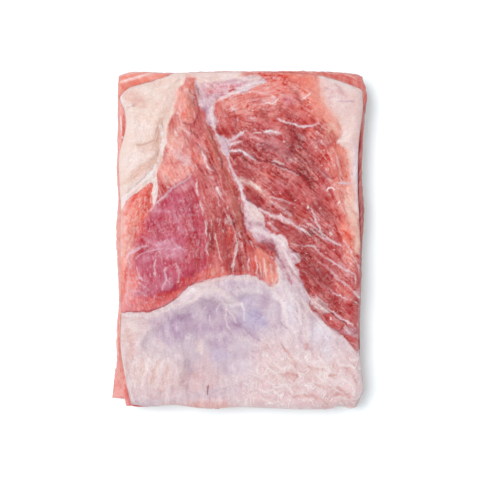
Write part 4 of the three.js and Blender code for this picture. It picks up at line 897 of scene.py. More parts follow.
# How the random small marks vary: their seed, least depth inside the tissue, shares of the
# length and width, and turn from the fibres in radians
DICE_SEED = 31
MARK_DEPTH = 1.0
MARK_LENGTHS = (0.4, 1.4)
MARK_WIDTHS = (0.6, 1.3)
MARK_TURN = 0.12

# Numbers that scramble the column, row and seed of a square of the noise's lattice
SCRAMBLE = (374761393, 668265263, 974634777, 1274126177)
# Each finer step of a cloud has this share of the one before, and is turned and seeded anew
CLOUD_FADE = 0.55
CLOUD_TURN = 0.7
CLOUD_SEED_STEP = 17
CLOUD_GAIN = 1.35
STREAK_GAIN = 1.5
FEWEST_SAMPLES = 5


def clamp(value):
    return np.clip(value, 0.0, 1.0)


def ease(low, high, value):
    """0 at low, 1 at high, and smooth between. low may be the larger of the two."""
    share = clamp((value - low) / (high - low))
    return share * share * (3 - 2 * share)


def linear(code):
    """The linear colour of an sRGB hex code."""
    values = np.array([int(code[i:i + 2], 16) for i in (1, 3, 5)]) / 255
    return np.where(values <= 0.04045, values / 12.92, ((values + 0.055) / 1.055) ** 2.4)


def blend(colour, name, share):
    """The colours, each taken a share of the way to the named one."""
    return colour + (linear(COLOURS[name]) - colour) * clamp(share)[..., None]


def lattice(column, row, seed):
    """A repeatable number from 0 to 1 for each square of a lattice."""
    of_column, of_row, of_seed, again = SCRAMBLE
    mixed = (column * of_column + row * of_row + seed * of_seed) & 0xFFFFFFFF
    mixed = ((mixed ^ (mixed >> 13)) * again) & 0xFFFFFFFF
    return ((mixed ^ (mixed >> 16)) & 0xFFFFFF) / 0xFFFFFF


def level_ends(share):
    """From 0 to 1 with level ends, so that noise has no creases along its lattice."""
    return share * share * share * (share * (6 * share - 15) + 10)


def noise(x, y, seed):
    """Smooth noise from -1 to 1, with bumps one unit across."""
    column = np.floor(x).astype(np.int64)
    row = np.floor(y).astype(np.int64)
    right = level_ends(x - column)
    up = level_ends(y - row)
    sides = []
    for upper in (0, 1):
        left_value = lattice(column, row + upper, seed)
        right_value = lattice(column + 1, row + upper, seed)
        sides.append(left_value * (1 - right) + right_value * right)
    return 2 * (sides[0] * (1 - up) + sides[1] * up) - 1


def cloud(x, y, size, seed, steps):
    """Noise with finer noise on it, whose coarsest bumps are size millimetres across."""
    total = np.zeros(np.shape(x))
    weight = 0.0
    for step in range(steps):
        share = CLOUD_FADE ** step
        turn = CLOUD_TURN * step
        across = (x * math.cos(turn) - y * math.sin(turn)) / size
        along = (x * math.sin(turn) + y * math.cos(turn)) / size
        total += share * noise(across, along, seed + CLOUD_SEED_STEP * step)
        weight += share
        size /= 2
    return CLOUD_GAIN * total / weight


def streaks(x, y, turn, width, length, seed):
    """Noise drawn out along the fibres, with bumps of about this width and length."""
    count = max(FEWEST_SAMPLES, int(length / width))
    cos = np.cos(turn)
    sin = np.sin(turn)
    total = np.zeros(np.shape(x))
    for step in np.linspace(-0.5, 0.5, count) * length:
        total += noise((x + step * cos) / width, (y + step * sin) / width, seed)
    return total / count * STREAK_GAIN * math.sqrt(count)


def moved(x, y, clouds, seed):
    """The places moved about by clouds, which have their own seeds for x and for y."""
    moved_x = x
    moved_y = y
    for i, (distance, size, steps) in enumerate(clouds):
        moved_x = moved_x + distance * cloud(x, y, size, seed + i, steps)
        moved_y = moved_y + distance * cloud(x, y, size, seed + len(clouds) + i, steps)
    return moved_x, moved_y


def smooth_line(points, steps, closed=False):
    """A smooth line through the points, with this many steps from each to the next."""
    knots = np.asarray(points, float)
    last = len(knots) - 1
    share = np.linspace(0, 1, steps, endpoint=False)[:, None]
    parts = []
    for i in range(len(knots) if closed else last):
        if closed:
            a, b, c, d = (knots[(i + k) % len(knots)] for k in (-1, 0, 1, 2))
        else:
            a, b, c, d = knots[max(i - 1, 0)], knots[i], knots[i + 1], knots[min(i + 2, last)]
        bend = 2 * a - 5 * b + 4 * c - d
        twist = 3 * b - a - 3 * c + d
        parts.append(0.5 * (2 * b + (c - a) * share + bend * share ** 2 + twist * share ** 3))
    parts.append(knots[:1] if closed else knots[-1:])
    return np.concatenate(parts)


def nearest(line, x, y):
    """How far each place is from a line, on which side, how far along, and the line's length."""
    best = np.full(x.shape, np.inf)
    side = np.zeros(x.shape)
    along = np.zeros(x.shape)
    start = 0.0
    for (ax, ay), (bx, by) in zip(line[:-1], line[1:]):
        length = math.hypot(bx - ax, by - ay)
        if length == 0:
            continue
        share = clamp(((x - ax) * (bx - ax) + (y - ay) * (by - ay)) / length ** 2)
        away = np.hypot(x - ax - share * (bx - ax), y - ay - share * (by - ay))
        cross = (bx - ax) * (y - ay) - (by - ay) * (x - ax)
        side = np.where(away < best, np.sign(cross), side)
        along = np.where(away < best, start + share * length, along)
        best = np.minimum(best, away)
        start += length
    return best, side, along, start


def in_box(line, x, y, margin):
    """Which places lie in the line's own box, widened by a margin."""
    low = line.min(0) - margin
    high = line.max(0) + margin
    return (x > low[0]) & (x < high[0]) & (y > low[1]) & (y < high[1])


def is_inside(line, x, y):
    """Which places lie inside a closed line: those from which a ray crosses it an odd number of
    times."""
    result = np.zeros(x.shape, bool)
    for (ax, ay), (bx, by) in zip(line[:-1], line[1:]):
        if ay == by:
            continue
        crosses = (ay > y) != (by > y)
        result ^= crosses & (x < ax + (bx - ax) * (y - ay) / (by - ay))
    return result


def depth_inside(outline, x, y, reach):
    """How deep each place lies inside an outline. It is negative outside, down to -reach."""
    line = smooth_line(outline, OUTLINE_STEPS, closed=True)
    near = in_box(line, x, y, reach)
    away, _, _, _ = nearest(line, x[near], y[near])
    depth = np.full(x.shape, -float(reach))
    depth[near] = np.where(is_inside(line, x[near], y[near]), away, -np.minimum(away, reach))
    return depth


def spot(x, y, middle_x, middle_y, reach_x, reach_y, turn):
    """A soft round patch: 1 in its middle and 0 past its rim."""
    cos, sin = math.cos(math.radians(turn)), math.sin(math.radians(turn))
    across = ((x - middle_x) * cos + (y - middle_y) * sin) / reach_x
    along = ((y - middle_y) * cos - (x - middle_x) * sin) / reach_y
    return ease(1, SPOT_CORE, np.hypot(across, along))


def fibre_turn(x, y):
    """The way the fibres run at each place, in radians. A fibre has no front end, so the mean is
    taken of doubled angles."""
    cos = np.zeros(x.shape)
    sin = np.zeros(x.shape)
    for at_x, at_y, degrees in FIBRES:
        squared = (x - at_x) ** 2 + (y - at_y) ** 2
        weight = np.exp(-squared / (2 * FIBRE_REACH ** 2)) + LEAST_WEIGHT
        cos += weight * math.cos(math.radians(2 * degrees))
        sin += weight * math.sin(math.radians(2 * degrees))
    return np.arctan2(sin, cos) / 2


class Face:
    """The paint of the face: colour, height and gloss at each of its places."""

    def __init__(self, x, y, to_rim):
        self.x = x
        self.y = y
        self.colour = np.zeros(x.shape + (3,))
        self.height = np.zeros(x.shape)
        self.wet = np.zeros(x.shape)
        self.turn = fibre_turn(x, y) + TURN_WAVE * cloud(x, y, *TURN_CLOUD)
        self.bent_x, self.bent_y = moved(x, y, *BENT)
        self.drift_x, self.drift_y = moved(x, y, *DRIFTED)
        places = {
            "plain": (x, y), "bent": (self.bent_x, self.bent_y), "curled": moved(x, y, *CURLED),
        }
        pattern = {}
        for name, (on, *look) in STREAKS.items():
            pattern[name] = streaks(*places[on], self.turn, *look)
        for name, (on, *look) in CLOUDS.items():
            pattern[name] = cloud(*places[on], *look)
        self.textures = self.weave_textures(pattern, to_rim)

    def weave_textures(self, pattern, to_rim):
        """The textures that a tissue may have, made from the plain patterns."""
        busy = ease(*BUSY_AT, pattern["busy"])
        broken = ease(*BROKEN_AT, pattern["broken"])
        ruffles = RUFFLE_HEIGHT * ease(*RUFFLE_AT, np.abs(pattern["ruffles"]))
        crimps = CRIMP_HEIGHT * ease(*CRIMP_AT, np.abs(pattern["crimps"]))
        textures = {
            **pattern,
            # Painted shade in the splits, painted highlight in the curls and painted glints in the
            # specks
            "shaded_split": -ease(*SHADED_SPLIT_AT, np.abs(pattern["edges"])) * broken,
            "highlight_curl": ease(*HIGHLIGHT_CURL_AT, np.abs(pattern["folds"])) * busy * broken,
            "glint_speck": ease(*GLINT_SPECK_AT, pattern["glint_speck"]) * busy,
            "wrinkle": ruffles + crimps - WRINKLE_FLOOR,
        }
        inner = RIM_SHARE + (1 - RIM_SHARE) * ease(*RIM_FADE, to_rim)
        for name in FADING:
            textures[name] = textures[name] * inner
        for name in ("strand", "fibre"):
            textures[name] = textures[name] * (CALM_SHARE + BUSY_SHARE * busy)
        return textures

    def add_tissue(self, tissue, depth):
        """Lays one tissue over what is there. depth is how deep each place lies in it."""
        bounded = "outline" in tissue
        cover = np.ones(self.x.shape)
        if bounded:
            cover = ease(-tissue["soft"] / 2, tissue["soft"] / 2, depth)
        colour = np.zeros(self.colour.shape) + linear(COLOURS[tissue["base"]])
        for name, share, *place in tissue["tints"]:
            colour = blend(colour, name, share * spot(self.drift_x, self.drift_y, *place))
        lift = np.zeros(self.x.shape)
        # Each texture deepens the colour of its low places, which is painted shade, and lays a pale
        # film on its high places, partly the tissue's own thin film and partly painted sheen
        for texture, deeper, film, film_share, height in tissue["weave"]:
            value = self.textures[texture]
            colour **= 1 + deeper * ease(*FILM_AT, -value)[..., None]
            colour = blend(colour, film, film_share * ease(*FILM_AT, value))
            lift += height * value
        colour = np.maximum(colour, linear(COLOURS["lean_dark"]))
        self.colour += (colour - self.colour) * cover[..., None]
        inward = clamp(depth / tissue["edge"])
        lift += tissue["rise"] * (QUICK_RISE * ease(0, 1, inward) + SLOW_RISE * inward)
        if bounded:
            risen = ease(RISE_FROM, RISE_TO * tissue["edge"], depth)
            lift = self.height + (lift - self.height) * risen
        self.height = lift
        self.wet += (tissue["wet"] - self.wet) * cover

    def add_stroke(self, kind, width, share, line):
        """Draws one stroke of the named kind along a line."""
        name, lift, soft, broken, halo = STROKE_LOOKS[kind]
        near = in_box(line, self.x, self.y, width + STROKE_MARGIN)
        if not near.any():
            return
        away, side, along, length = nearest(line, self.bent_x[near], self.bent_y[near])
        along_strand = along / STRAND_LENGTH + line[0, 0]
        strands = noise(side * away / STRAND_WIDTH, along_strand, STRAND_SEED)
        from_end = np.minimum(along, length - along) / length
        half = 0.5 * width * clamp(STROKE_TAPER * from_end + STROKE_TIP)
        away = away + STROKE_RAGGED * width * self.textures["ragged"][near]
        border = half + STROKE_FEATHER + SOFT_SPREAD * soft * width
        strength = share * ease(border, half * (1 - soft), away)
        gaps = ease(*STRAND_AT, strands) * ease(*STRAND_WIDTHS, width)
        strength *= 1 - STRAND_GAP * gaps
        strength *= 1 - broken * ease(*STROKE_BROKEN_AT, self.textures["patch"][near])
        around = halo * share * ease(HALO_SPREAD * half + HALO_MARGIN, 0, away)
        self.colour[near] = blend(blend(self.colour[near], name, around), name, strength)
        self.height[near] += lift * strength

    def scatter(self, depths):
        """Small marks at random places inside the named tissues, along the fibres."""
        dice = np.random.default_rng(DICE_SEED)
        for names, kind, number, length, width, share in SCATTER:
            inside = np.flatnonzero(np.max([depths[name] for name in names], 0) > MARK_DEPTH)
            for place in dice.choice(inside, number):
                half = 0.5 * length * dice.uniform(*MARK_LENGTHS)
                turn = self.turn[place] + dice.normal(0, MARK_TURN)
                step = half * np.array([math.cos(turn), math.sin(turn)])
                middle = np.array([self.bent_x[place], self.bent_y[place]])
                line = np.array([middle - step, middle + step])
                self.add_stroke(kind, width * dice.uniform(*MARK_WIDTHS), share, line)


def paint_face(x, y, to_rim):
    """The painted face, and how deep each of its places lies in each tissue that shows there."""
    face = Face(x, y, to_rim)
    names = [tissue["name"] for tissue in TISSUES]
    depths = {}
    rest = np.full(x.shape, float(TISSUES[0]["edge"]))
    for tissue in TISSUES[1:]:
        depth = depth_inside(tissue["outline"], face.bent_x, face.bent_y, BORDER_REACH)
        depths[tissue["name"]] = depth
        rest = np.minimum(rest, -depth)
    depths[names[0]] = rest
    for tissue in TISSUES:
        face.add_tissue(tissue, depths[tissue["name"]])
    for i, name in enumerate(names):
        for later in names[i + 1:]:
            depths[name] = np.minimum(depths[name], -depths[later])
    face.scatter(depths)
    for kind, width, share, points in STROKES:
        face.add_stroke(kind, width, share, smooth_line(points, STROKE_STEPS))
    for height, wave_x, wave_y, shift in SWELL:
        face.height += height * np.sin(wave_x * x + wave_y * y + shift)
    return face, depths


def edge_curves(outline):
    """The four sides of an outline as functions of the share of the way along each."""
    turned = {
        "left": lambda along, inset: (inset - WIDTH / 2, along),
        "right": lambda along, inset: (WIDTH / 2 - inset, along),
        "bottom": lambda along, inset: (along, inset - LENGTH / 2),
        "top": lambda along, inset: (along, LENGTH / 2 - inset),
    }
    curves = {}
    for side, places in outline.items():
        line = smooth_line([turned[side](*place) for place in places], SIDE_STEPS)
        steps = np.hypot(*np.diff(line, axis=0).T)
        shares = np.concatenate([[0], np.cumsum(steps)]) / steps.sum()
        curves[side] = (shares, line)
    return curves


def on_curve(curve, share):
    """The places a share of the way along a side."""
    shares, line = curve
    return np.stack([np.interp(share, shares, line[:, axis]) for axis in (0, 1)], -1)


def patch_points(curves, u, v):
    """Places inside an outline: u runs across it and v along it, both from 0 to 1."""
    across = u[:, None]
    along = v[:, None]
    point = (1 - along) * on_curve(curves["bottom"], u) + along * on_curve(curves["top"], u)
    point += (1 - across) * on_curve(curves["left"], v) + across * on_curve(curves["right"], v)
    bottom, top = curves["bottom"][1], curves["top"][1]
    point -= (1 - across) * (1 - along) * bottom[0] + across * (1 - along) * bottom[-1]
    point -= (1 - across) * along * top[0] + across * along * top[-1]
    return point


def open_edges(mesh_in_edit):
    """The edges that only one face has."""
    return [edge for edge in mesh_in_edit.edges if edge.is_boundary]


def new_points(made):
    """The points among what an operator has made."""
    return [part for part in made["geom"] if isinstance(part, bmesh.types.BMVert)]


def add_piece(name, mesh_in_edit):
    """Turns an edited mesh into an object of the scene, smooth all over."""
    bmesh.ops.recalc_face_normals(mesh_in_edit, faces=mesh_in_edit.faces)
    mesh = bpy.data.meshes.new(name)
    mesh_in_edit.to_mesh(mesh)
    mesh_in_edit.free()
    mesh.polygons.foreach_set("use_smooth", [True] * len(mesh.polygons))
    piece = bpy.data.objects.new(name, mesh)
    bpy.context.scene.collection.objects.link(piece)
    return piece


def add_paint(mesh, colours, wet):
    """Stores the flesh's colour and its gloss on the points that the number layer names."""
    number = np.zeros(len(mesh.vertices), np.int32)
    mesh.attributes["number"].data.foreach_get("value", number)
    mesh.attributes.remove(mesh.attributes["number"])
    seen = np.maximum(colours[number] - GLOSS_VEIL, DARKEST) * REFLECTED
    values = np.column_stack([seen, np.ones(len(seen))])
    layer = mesh.attributes.new("flesh", "FLOAT_COLOR", "POINT")
    layer.data.foreach_set("color", values.astype(np.float32).ravel())
    layer = mesh.attributes.new("wet", "FLOAT", "POINT")
    layer.data.foreach_set("value", wet[number].astype(np.float32))


def grid(columns, rows):
    """A flat sheet of cells with its points numbered, and their places across and along it, both
    from 0 to 1."""
    sheet = bmesh.new()
    bmesh.ops.create_grid(sheet, x_segments=columns, y_segments=rows, size=0.5)
    number = sheet.verts.layers.int.new("number")
    for i, vertex in enumerate(sheet.verts):
        vertex[number] = i
    flat = np.array([vertex.co[:] for vertex in sheet.verts]) + 0.5
    return sheet, flat[:, 0], flat[:, 1]


# The layers under the face wander up and down: height of the waves, their lengths along x, along
# y and again along y, and how far each row of the wall shifts them, in radians
WAVE_HEIGHT = 1.3
WAVE_LENGTHS = (23, 31, 13)
WAVE_SHIFT = 0.25


def wander(x, y, row):
    """How far the layers under the face wander up and down, in each row of the wall."""
    along_x, along_y, short = WAVE_LENGTHS
    slow = np.sin(x / along_x + y / along_y + row * WAVE_SHIFT)
    return WAVE_HEIGHT * (slow + 0.5 * np.sin(y / short))


# The face is four sheets, and each shows these tissues.
SHEETS = {
    "muscles_and_fat_left": (
        "strap muscle", "round muscle", "small muscle", "seam of silverskin", "left fat pad",
        "band of fat", "lean corner at the left",
    ),
    "broad_muscle": ("broad muscle",),
    "fat_pad_right": ("right fat pad", "lean corner at the right"),
    "membrane_end": (
        "membrane", "thin part of the membrane", "loose end of the membrane",
    ),
}
# Where two sheets meet, each runs on under the other: how far, how deep it sinks, and within
# what reach
OVERLAP = 2.5
SINK = 0.9
SINK_REACH = 1.2

# The relief is lower at the rim: its share there, and how far in it reaches its full height
RELIEF_AT_RIM = 0.35
RELIEF_REACH = 12

# Where a sheet ends it turns down: share of its size that the slab's rim keeps, and height. There
# it wanders as this row of the wall does.
RIM_ROLL = [(0.9985, 31.8), (0.985, 30.2), (0.95, 29.2)]
RIM_ROW = 1


def build_face():
    """The sheets of meat, fat and membrane that face up."""
    columns, rows = round(WIDTH / CELL), round(LENGTH / CELL)
    sheet, u, v = grid(columns, rows)
    sheet.free()
    point = patch_points(edge_curves(COVER), u, v)
    to_rim = np.minimum.reduce([u * WIDTH, (1 - u) * WIDTH, v * LENGTH, (1 - v) * LENGTH])
    face, depths = paint_face(point[:, 0], point[:, 1], to_rim)
    fall = 1 - np.sqrt(1 - (1 - clamp(to_rim / RIM_REACH)) ** 2)
    relief = face.height * ease(0, 1, RELIEF_AT_RIM + to_rim / RELIEF_REACH)
    height = FACE_HEIGHT + relief - RIM_DROP * fall
    pieces = []
    for name, tissues in SHEETS.items():
        shown = np.max([depths[tissue] for tissue in tissues], 0)
        level = height - SINK * ease(0, SINK_REACH, -shown)
        places = np.column_stack([point, level]) * MM
        piece = add_sheet(name, columns, rows, shown > -OVERLAP, places, to_rim < CELL / 2)
        add_paint(piece.data, face.colour, face.wet)
        pieces.append(piece)
    return pieces


def add_sheet(name, columns, rows, kept, places, at_rim):
    """The part of the face's grid that one sheet keeps, turned down all round and closed."""
    sheet, _, _ = grid(columns, rows)
    number = sheet.verts.layers.int["number"]
    lost = [vertex for vertex in sheet.verts if not kept[vertex[number]]]
    bmesh.ops.delete(sheet, geom=lost, context="VERTS")
    for vertex in sheet.verts:
        vertex.co = places[vertex[number]]
    for keep, level in RIM_ROLL:
        made = bmesh.ops.extrude_edge_only(sheet, edges=open_edges(sheet))
        for vertex in new_points(made):
            height = level
            if at_rim[vertex[number]]:
                height += wander(vertex.co.x / MM, vertex.co.y / MM, RIM_ROW)
                vertex.co.x *= keep
                vertex.co.y *= keep
            vertex.co.z = min(height * MM, vertex.co.z)
    bmesh.ops.holes_fill(sheet, edges=open_edges(sheet), sides=0)
    return add_piece(name, sheet)


# The wall from under the cover's rim down to the rind: height, share of the way from the cover's
# outline to the lean's, bulge past it, how much its height wanders, and its share of the tongue
WALL = [
    (31.2, 0.0, -4.0, 1.0, 0.0), (31.6, 0.12, -0.6, 1.0, 0.0), (31.5, 0.3, -0.4, 1.0, 0.0),
    (31.3, 0.5, -0.3, 1.0, 0.0), (30.9, 0.7, -0.2, 1.0, 0.0), (30.2, 0.85, -0.2, 1.0, 0.0),
    (27.6, 1.0, 0.0, 1.0, 0.0), (24.6, 1.0, -0.3, 1.0, 0.0), (22.8, 1.0, -1.9, 0.9, 0.3),
    (20.8, 1.0, -0.8, 0.9, 1.0), (17.0, 1.0, -0.9, 0.8, 0.85), (15.2, 1.0, -2.4, 0.7, 0.2),
    (10.5, 1.0, -1.4, 0.4, 0.0), (5.4, 1.0, -2.0, 0.2, 0.0), (4.2, 1.0, -3.0, 0.0, 0.0),
    (1.4, 1.0, -2.2, 0.0, 0.0), (0.0, 1.0, -3.2, 0.0, 0.0),
]
WALL_ROWS = 64
WALL_STEPS = 8
SIDE_CELL = 0.94
WELD = 1e-6
# Columns each way over which the wall's outward direction is averaged
AHEAD = 6

# The wall is uneven: broad waves, and finer clouds of a height, size, seed and steps. Its top
# row and its foot keep their places.
UNEVEN_DEPTH = 0.6
UNEVEN_LENGTH = 10
UNEVEN_HEIGHT = 8
UNEVEN_CLOUDS = [(0.35, 4, 66, 3), (0.12, 1.6, 67, 2)]
EVEN_ENDS = (0, 1.5)

# The torn tongue of lean at the lower left: where it starts and ends along the left side, how
# far it reaches out, and the cloud that tears its border
TONGUE_FROM = -84
TONGUE_TO = -117.5
TONGUE_REACH = 9
TONGUE_TEAR = 0.8
TONGUE_CLOUD = (3, 68, 2)

# The layers that the wall shows: levels between which the border of each one lies
LOWER_LEAN_FOOT = (15.0, 15.8)
LOWER_LEAN_TOP = (23.6, 22.9)
UPPER_LEAN_FOOT = (24.4, 25.0)
SHELF = (26, 29)
RIND = (4.6, 4.0)
# The borders wander by clouds of a distance, size, seed and steps of fineness
LAYER_CLOUDS = [(1.1, 30, 61, 2), (0.5, 6, 62, 3)]
# Patterns of the wall: how much they are drawn out along it, size, seed and steps
SIDE_PATTERNS = {
    "fibre": (2.2, 1.5, 63, 3), "lump": (1, 2.0, 64, 3), "marbling": (5, 2.6, 65, 3),
}
# How far lumps shift the border of the rind, and that of the ragged lean at the far end
RIND_RAGGED = 0.25
FAR_RAGGED = 0.4

# Tints of the sides: colour, share, and the levels between which each of its measures lets it in
FAT_TINTS = [
    ("fat_rose", 0.5, {"lump": (0, 0.9)}), ("fat_pink", 0.6, {"marbling": (0, 0.9)}),
]
LEAN_TINTS = [
    ("lean_deep", 0.6, {"fibre": (0, -0.9)}), ("lean_salmon", 0.6, {"fibre": (0, 0.9)}),
    ("lean_dark", 0.4, {"lump": (-0.3, -1)}), ("pale_pink", 0.5, {"lump": (0.3, 1)}),
    ("cream", 0.8, {"marbling": (0.55, 0.8)}),
]
SHELF_TINTS = [
    ("edge_lean", 0.85, {"level": SHELF}),
    ("edge_orange", 0.7, {"level": SHELF, "y": (100, 112), "x": (-40, -55)}),
    ("blush", 0.8, {"level": SHELF, "ragged y": (118.5, 121), "x": (-30, -60)}),
    ("blush", 0.75, {"level": SHELF, "left": (0.6, 0.9), "y": (115, 100)}),
    # The wall that faces right, away from the light, is painted darker: painted shade
    ("shaded_right_edge", 0.95, {"level": SHELF, "right": (0.6, 0.9), "y": (112, 96)}),
    ("milk", 0.9, {"level": SHELF, "y": (-82, -92), "x": (20, 50)}),
    ("blush", 0.8, {"y": (-80, -96), "left": (0.5, 0.9), "level": (10, 14)}),
]
SKIN_TINTS = [
    ("pale_pink", 0.22, {"fibre": (0, 0.9)}), ("rind", 1, {"skin": RIND}),
    ("rind_dark", 0.6, {"skin": RIND, "lump": (0, 0.9)}),
]
# The low places between the fibres are this much deeper in colour
FIBRE_DEEPER = 0.3
# Gloss of the fat at the sides, and how much glossier the lean is
SIDE_WET = 0.3
LEAN_WETTER = 0.5

# A mark on the sides narrows to its tips, has a soft border and is ragged where there are lumps
EDGE_MARK_HALF = 0.7
EDGE_MARK_TIP = (0, 0.3)
EDGE_MARK_FEATHER = 0.3
EDGE_MARK_CORE = 0.3
EDGE_MARK_RAGGED = 0.3
# Marks on the lean that shows past the face's rim: colour, width, share and line
SHELF_MARKS = [
    ("blush", 3.4, 0.8, [(-93, 122.6), (-80, 124.4), (-58, 125.2)]),
    ("edge_orange", 1.6, 0.9, [(-92, 118), (-85, 120.4), (-76, 122.8), (-66, 124.6)]),
    ("edge_orange", 4.6, 0.9, [(-86, 112), (-76.5, 116.2), (-70, 118.6), (-62.5, 120.2),
                               (-50, 123.6)]),
    ("edge_orange", 4.0, 0.9, [(-87, 106), (-84, 110.6), (-79, 114.2)]),
    ("pale_pink", 1.5, 0.9, [(-90, 116), (-83, 118), (-76.5, 119.8), (-70, 122), (-62, 124)]),
    ("white", 0.9, 0.8, [(-89, 117.2), (-82, 119.2), (-75, 121.2), (-66, 123.8)]),
    ("lean_red", 1.3, 0.5, [(54, 123.8), (64, 122.6), (76, 119), (86, 114.4), (90, 112)]),
    ("pale_pink", 1.0, 0.7, [(60, 124.6), (70, 123.6), (82, 121.4), (88, 118.4)]),
    ("warm_red", 1.4, 0.5, [(66, 124.2), (78, 121.6), (88, 116.8)]),
    ("lean_red", 1.8, 0.6, [(91, 116), (93, 108), (92, 99)]),
    ("lean_red", 2.2, 0.8, [(-86, 96), (-86.2, 86), (-86.5, 75), (-88, 68)]),
    ("white", 0.9, 0.7, [(-88.4, 92), (-87.8, 84), (-88, 78)]),
    ("white", 1.2, 0.8, [(-87.5, 77), (-86.5, 75.5)]),
    # Painted shade down the right side, which faces away from the light: this dark line and the
    # next
    ("lean_deep", 1.6, 0.9, [(89.4, 96), (88.6, 80), (88.2, 60), (88, 40), (88.6, 20), (89, -6)]),
    ("shaded_right_edge", 2.4, 0.8, [(91.4, 98), (90.8, 70), (90.4, 40), (90.8, 20), (91.6, -6)]),
    ("lean_red", 1.4, 0.7, [(91.8, 92), (90.8, 70), (90.4, 48)]),
    ("lean_deep", 2.0, 0.6, [(88.5, -66), (88.6, -76), (88.2, -84)]),
    ("pale_pink", 4.0, 0.7, [(-92, -50), (-91, -68), (-90, -88)]),
    ("edge_lean", 4.0, 0.6, [(-89.5, -84), (-89, -80), (-88, -98), (-86, -110)]),
    ("lean_red", 0.7, 0.4, [(-90, -58), (-89.6, -76), (-88.4, -96)]),
    ("warm_red", 5.0, 0.8, [(-85.5, -104), (-84, -112), (-81, -119), (-72, -124), (-60, -125)]),
]


def loop_places(count_x, count_y):
    """The rim as a loop of places, against the clock seen from above."""
    cover, lean = edge_curves(COVER), edge_curves(LEAN)
    up_x = np.arange(count_x) / count_x
    up_y = np.arange(count_y) / count_y
    sides = [("bottom", up_x), ("right", up_y), ("top", 1 - up_x), ("left", 1 - up_y)]
    rim = np.concatenate([on_curve(cover[side], share) for side, share in sides])
    base = np.concatenate([on_curve(lean[side], share) for side, share in sides])
    ahead = np.roll(base, -AHEAD, 0) - np.roll(base, AHEAD, 0)
    outward = np.column_stack([ahead[:, 1], -ahead[:, 0]])
    return rim, base, outward / np.hypot(*outward.T)[:, None]


def tinted(colour, tints, measures):
    """The colours with tints on them, each let in by the levels of its own measures."""
    for name, share, levels in tints:
        for measure, (low, high) in levels.items():
            share = share * ease(low, high, measures[measure])
        colour = blend(colour, name, share)
    return colour


def paint_sides(run, height, x, y, outward):
    """The colours and the gloss of the sides. run is the place along the wall."""
    patterns = {
        name: cloud(run / drawn_out, height, *look)
        for name, (drawn_out, *look) in SIDE_PATTERNS.items()
    }
    lump = patterns["lump"]
    level = height + sum(size * cloud(run, height, *look) for size, *look in LAYER_CLOUDS)
    measures = {
        **patterns, "x": x, "y": y, "level": level, "ragged y": y + FAR_RAGGED * lump,
        "skin": height + RIND_RAGGED * lump, "left": -outward[:, 0], "right": outward[:, 0],
    }
    blank = np.zeros(run.shape + (3,))
    fat = tinted(blank + linear(COLOURS["cream"]), FAT_TINTS, measures)
    meat = tinted(blank + linear(COLOURS["lean_rose"]), LEAN_TINTS, measures)
    lower = ease(*LOWER_LEAN_FOOT, level) * ease(*LOWER_LEAN_TOP, level)
    lean = np.maximum(lower, ease(*UPPER_LEAN_FOOT, level))
    colour = tinted(fat + (meat - fat) * lean[..., None], SHELF_TINTS, measures)
    for name, width, share, line in SHELF_MARKS:
        away, _, along, length = nearest(smooth_line(line, STROKE_STEPS), x, y)
        from_end = np.minimum(along, length - along) / length
        half = EDGE_MARK_HALF * width * ease(*EDGE_MARK_TIP, from_end)
        away = away + EDGE_MARK_RAGGED * lump
        mark = ease(half + EDGE_MARK_FEATHER, EDGE_MARK_CORE * half, away)
        colour = blend(colour, name, share * ease(*SHELF, level) * mark)
    colour **= 1 + FIBRE_DEEPER * ease(*FILM_AT, -patterns["fibre"])[:, None]
    return tinted(colour, SKIN_TINTS, measures), SIDE_WET + LEAN_WETTER * lean


def build_sides():
    """The layers under the face: lean, a streak of fat, lean again, back fat and rind."""
    count_x, count_y = round(WIDTH / SIDE_CELL), round(LENGTH / SIDE_CELL)
    rim, base, outward = loop_places(count_x, count_y)
    columns = len(rim)
    wall, u, v = grid(columns, WALL_ROWS)
    column = np.rint(u * columns).astype(int) % columns
    row = (1 - v) * (len(WALL) - 1)
    knots = smooth_line(WALL, WALL_STEPS)
    at = np.linspace(0, len(WALL) - 1, len(knots))
    z, mix, out, uneven, tongue = (np.interp(row, at, knots[:, k]) for k in range(5))
    on_rind = v < 0.5 / WALL_ROWS
    z[on_rind] = 0
    steps = np.hypot(*(base - np.roll(base, 1, 0)).T)
    run = np.cumsum(steps)[column]
    x, y = base[column].T
    rise = z / UNEVEN_HEIGHT
    waves = UNEVEN_DEPTH * (np.sin(x / UNEVEN_LENGTH + rise) * np.sin(y / UNEVEN_LENGTH - rise))
    fine = sum(size * cloud(run, z, *look) for size, *look in UNEVEN_CLOUDS)
    shown = ease(*EVEN_ENDS, z) * ease(*EVEN_ENDS, row)
    reach = out + (waves + fine) * shown
    point = rim[column] + (base - rim)[column] * mix[:, None]
    point += outward[column] * reach[:, None]
    torn = clamp((TONGUE_FROM - y) / (TONGUE_FROM - TONGUE_TO)) * (x < 0) * (y >= TONGUE_TO)
    point[:, 0] -= tongue * torn * (TONGUE_REACH + TONGUE_TEAR * cloud(y, z, *TONGUE_CLOUD))
    height = z + uneven * wander(x, y, row)
    height[on_rind] = 0
    places = np.column_stack([point, height]) * MM
    for vertex, place in zip(wall.verts, places):
        vertex.co = place
    bmesh.ops.remove_doubles(wall, verts=wall.verts, dist=WELD)
    bmesh.ops.holes_fill(wall, edges=open_edges(wall), sides=0)
    piece = add_piece("cut_sides", wall)
    add_paint(piece.data, *paint_sides(run, z, *point.T, outward[column]))
    return piece


